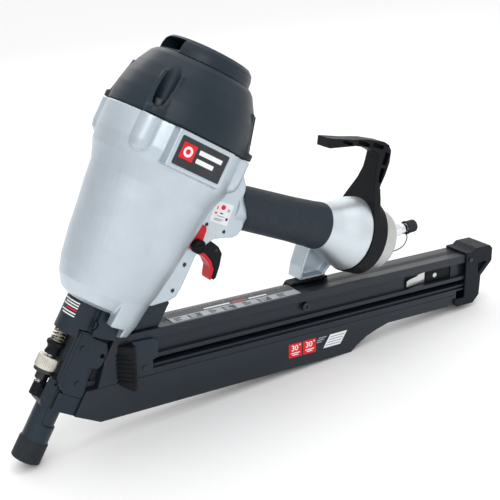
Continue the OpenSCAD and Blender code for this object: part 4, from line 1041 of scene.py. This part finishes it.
def make_magazine():
    """The two extrusions and the mouldings at the magazine's ends."""
    for node, name, width in (("magazine_rail", "magazine_extrusion", 0.55),
                              ("magazine_cover", "magazine_cover_extrusion", 0.5)):
        # The let-in strip and the two sides are one extrusion to the eye
        seams = [prism("seam", STRIP_SECTIONS[node], side * CHANNEL_HALF - SEAM_HALF,
                       side * CHANNEL_HALF + SEAM_HALF, MAG) for side in (-1, 1)]
        panel = boolean(copy_of(node, name), seams, "UNION")
        piece(soften(panel, width, 3, weld=SEAM_WELD), "rail", "root", [node])
    moulded("magazine_end_cap", "magazine_end_moulding", "dark_moulding", "root", 0.55, 4)
    moulded("magazine_foot", "magazine_foot_moulding", "plastic", "root", 0.5, 2)


def make_nail_catch():
    """Spring leaf bent outwards on a plate; the plate's rear round the rivet is a dark block: painted
    shade.
    """
    loops = []
    for i in range(LEAF_STEPS + 1):
        t = i / LEAF_STEPS
        m, y = 453 - LEAF_LENGTH * t, -9.0 - LEAF_BEND * t ** 1.6
        low, high = 80.4 + 0.8 * t, 90.0 - 1.6 * t
        if i == LEAF_STEPS:
            low, high = low + 1.0, high - 1.0
        loops.append([(m, y + d, n) for d, n in ((-0.3, low), (-0.3, high), (0.3, high), (0.3, low))])
    leaf = paint(sweep("leaf", loops, MAG), "steel")
    outline = [(451, 80.1), (462.5, 80.1), (462.5, 92.8), (451, 91.2)]
    plate = soften(paint(prism("p", outline, -9.4, -8.65, MAG), "steel"), 0.15)
    # The plate runs on to the rivet in shadow; this dark block is painted shade standing in for it
    shaded_plate_outline = rounded(462, 80.1, 496, 93.2, 1.2)
    plate_shade_block = paint(soften(prism("h", shaded_plate_outline, -10.4, -8.65, MAG), 0.35), "plastic")
    catch = smooth_shade(joined("nail_catch_leaf", [leaf, plate, plate_shade_block]), 32)
    piece(catch, None, "root", ["nail_catch"])


def make_pusher():
    """The pusher plate, and a wedge whose slanted front face carries the thumb ridges."""
    piece(soften(copy_of("pusher", "pusher_plate"), 0.5, 3), "charcoal", "pusher", ["pusher"])
    levels = [(57.0, 0.0), (58.2, 0.0)]
    for i in range(RIDGES):
        n = 58.4 + RIDGE_PITCH * i
        levels += [(n, 0.0), (n + 0.6, RIDGE_DEPTH), (n + 1.7, RIDGE_DEPTH), (n + 3.9, 0.0)]
    levels += [(90.0, 0.0), (95.6, -0.4), (96.2, -1.6)]
    loops = []
    for n, out in levels:
        low = 52.0 if n < 57.5 else n
        loops.append([
            (GRIP_BACK - 14 - out, GRIP_NEAR, n),
            (GRIP_BACK - 4.4 - out, GRIP_FAR - 0.7 * out, low),
            (GRIP_BACK - 3.0, GRIP_FAR - 0.9 * out, low),
            (GRIP_BACK, GRIP_FAR + 1.2, low),
            (GRIP_BACK, GRIP_NEAR, low),
        ])
    grip = soften(sweep("pusher_grip_moulding", loops, MAG), 0.3, 2, 24, 0.1)
    piece(grip, "plastic", "pusher", ["pusher_grip"])


# Visible screws, bolts and pins: CAD node, name, look, body
FASTENERS = (
    ("cap_bolts", "cap_screws", "black_steel", "root"),
    ("nose_bolts", "nose_screws", "black_steel", "root"),
    ("cover_screws", "cover_buttons", "charcoal", "root"),
    ("end_cap_screws", "end_buttons", "black_steel", "root"),
    ("magazine_bolt", "magazine_screws", "black_steel", "root"),
    ("pusher_screw", "pusher_button", "black_steel", "pusher"),
    ("deflector_bolt", "deflector_screw", "steel", "root"),
    ("catch_rivets", "catch_rivet", "steel", "root"),
    ("foot_pin", "foot_dowel", "black_steel", "foot"),
    ("trigger_pivot", "trigger_axle", "steel", "selector"),
    ("trigger_lever_pin", "lever_dowel", "black_steel", "trigger"),
    ("nose_tube", "drive_tube", "charcoal", "root"),
)

make_trigger()
make_nose()
make_contact()
make_magazine()
make_nail_catch()
make_pusher()
for cad_node, new_name, finish_name, rider in FASTENERS:
    piece(soften(copy_of(cad_node, new_name), 0.22), finish_name, rider, [cad_node])

# ---------------- floor and light

WORLD_STRENGTH = 1.08
# White all round, falling off along one fixed direction so that round metal shades towards its edges
FALLOFF_AXIS = (0.807, -0.590, 0)
FALLOFF_STOPS = ((0.0, 0.55), (0.08, 0.66), (0.22, 1.0), (0.66, 1.0), (0.85, 0.82), (1.0, 0.72))
# Area lamps: name, place, aim, size, power
LAMPS = (
    ("key", (-0.9, -1.3, 1.5), (0, 0, 0.15), (1.2, 0.8), 7),
    ("top", (0.2, 0.1, 1.7), (0, 0, 0.1), (1.4, 1.0), 4),
    ("side", (1.5, -0.9, 0.9), (0, 0, 0.15), (0.6, 1.2), 1.2),
    ("back", (0.3, 1.5, 1.1), (0, 0, 0.15), (1.4, 0.7), 5),
)


def make_floor():
    bm = bmesh.new()
    bmesh.ops.create_grid(bm, x_segments=1, y_segments=1, size=6)
    floor = from_bm("floor", bm)
    shader = Shader("floor_paper", (0.93, 0.93, 0.93), 0.0, 0.8, 0.0, 0.2)
    floor.data.materials.append(shader.material)


def make_world():
    """A white studio with the falloff above."""
    world = bpy.data.worlds.new("studio")
    bpy.context.scene.world = world
    world.use_nodes = True
    tree = world.node_tree
    side = tree.nodes.new("ShaderNodeVectorMath")
    side.operation = "DOT_PRODUCT"
    side.inputs[1].default_value = FALLOFF_AXIS
    tree.links.new(tree.nodes.new("ShaderNodeTexCoord").outputs["Generated"], side.inputs[0])
    across = tree.nodes.new("ShaderNodeMapRange")
    across.inputs["From Min"].default_value = -1.0
    tree.links.new(side.outputs["Value"], across.inputs["Value"])
    falloff = tree.nodes.new("ShaderNodeValToRGB")
    ramp = falloff.color_ramp
    while len(ramp.elements) < len(FALLOFF_STOPS):
        ramp.elements.new(0.5)
    for element, (place, level) in zip(ramp.elements, FALLOFF_STOPS):
        element.position = place
        element.color = (level, level, level, 1)
    tree.links.new(across.outputs["Result"], falloff.inputs["Fac"])
    background = tree.nodes["Background"]
    tree.links.new(falloff.outputs["Color"], background.inputs["Color"])
    background.inputs["Strength"].default_value = WORLD_STRENGTH


def make_lamp(name, place, aim, size, power):
    data = bpy.data.lights.new(name, "AREA")
    data.shape, data.energy = "RECTANGLE", power
    data.size, data.size_y = size
    lamp = link(name, data)
    lamp.location = place
    lamp.rotation_mode = "QUATERNION"
    lamp.rotation_quaternion = (Vector(aim) - Vector(place)).to_track_quat("-Z", "Y")


make_floor()
make_world()
for lamp_values in LAMPS:
    make_lamp(*lamp_values)
bpy.context.scene.view_settings.view_transform = "Standard"
bpy.context.scene.view_settings.look = "None"
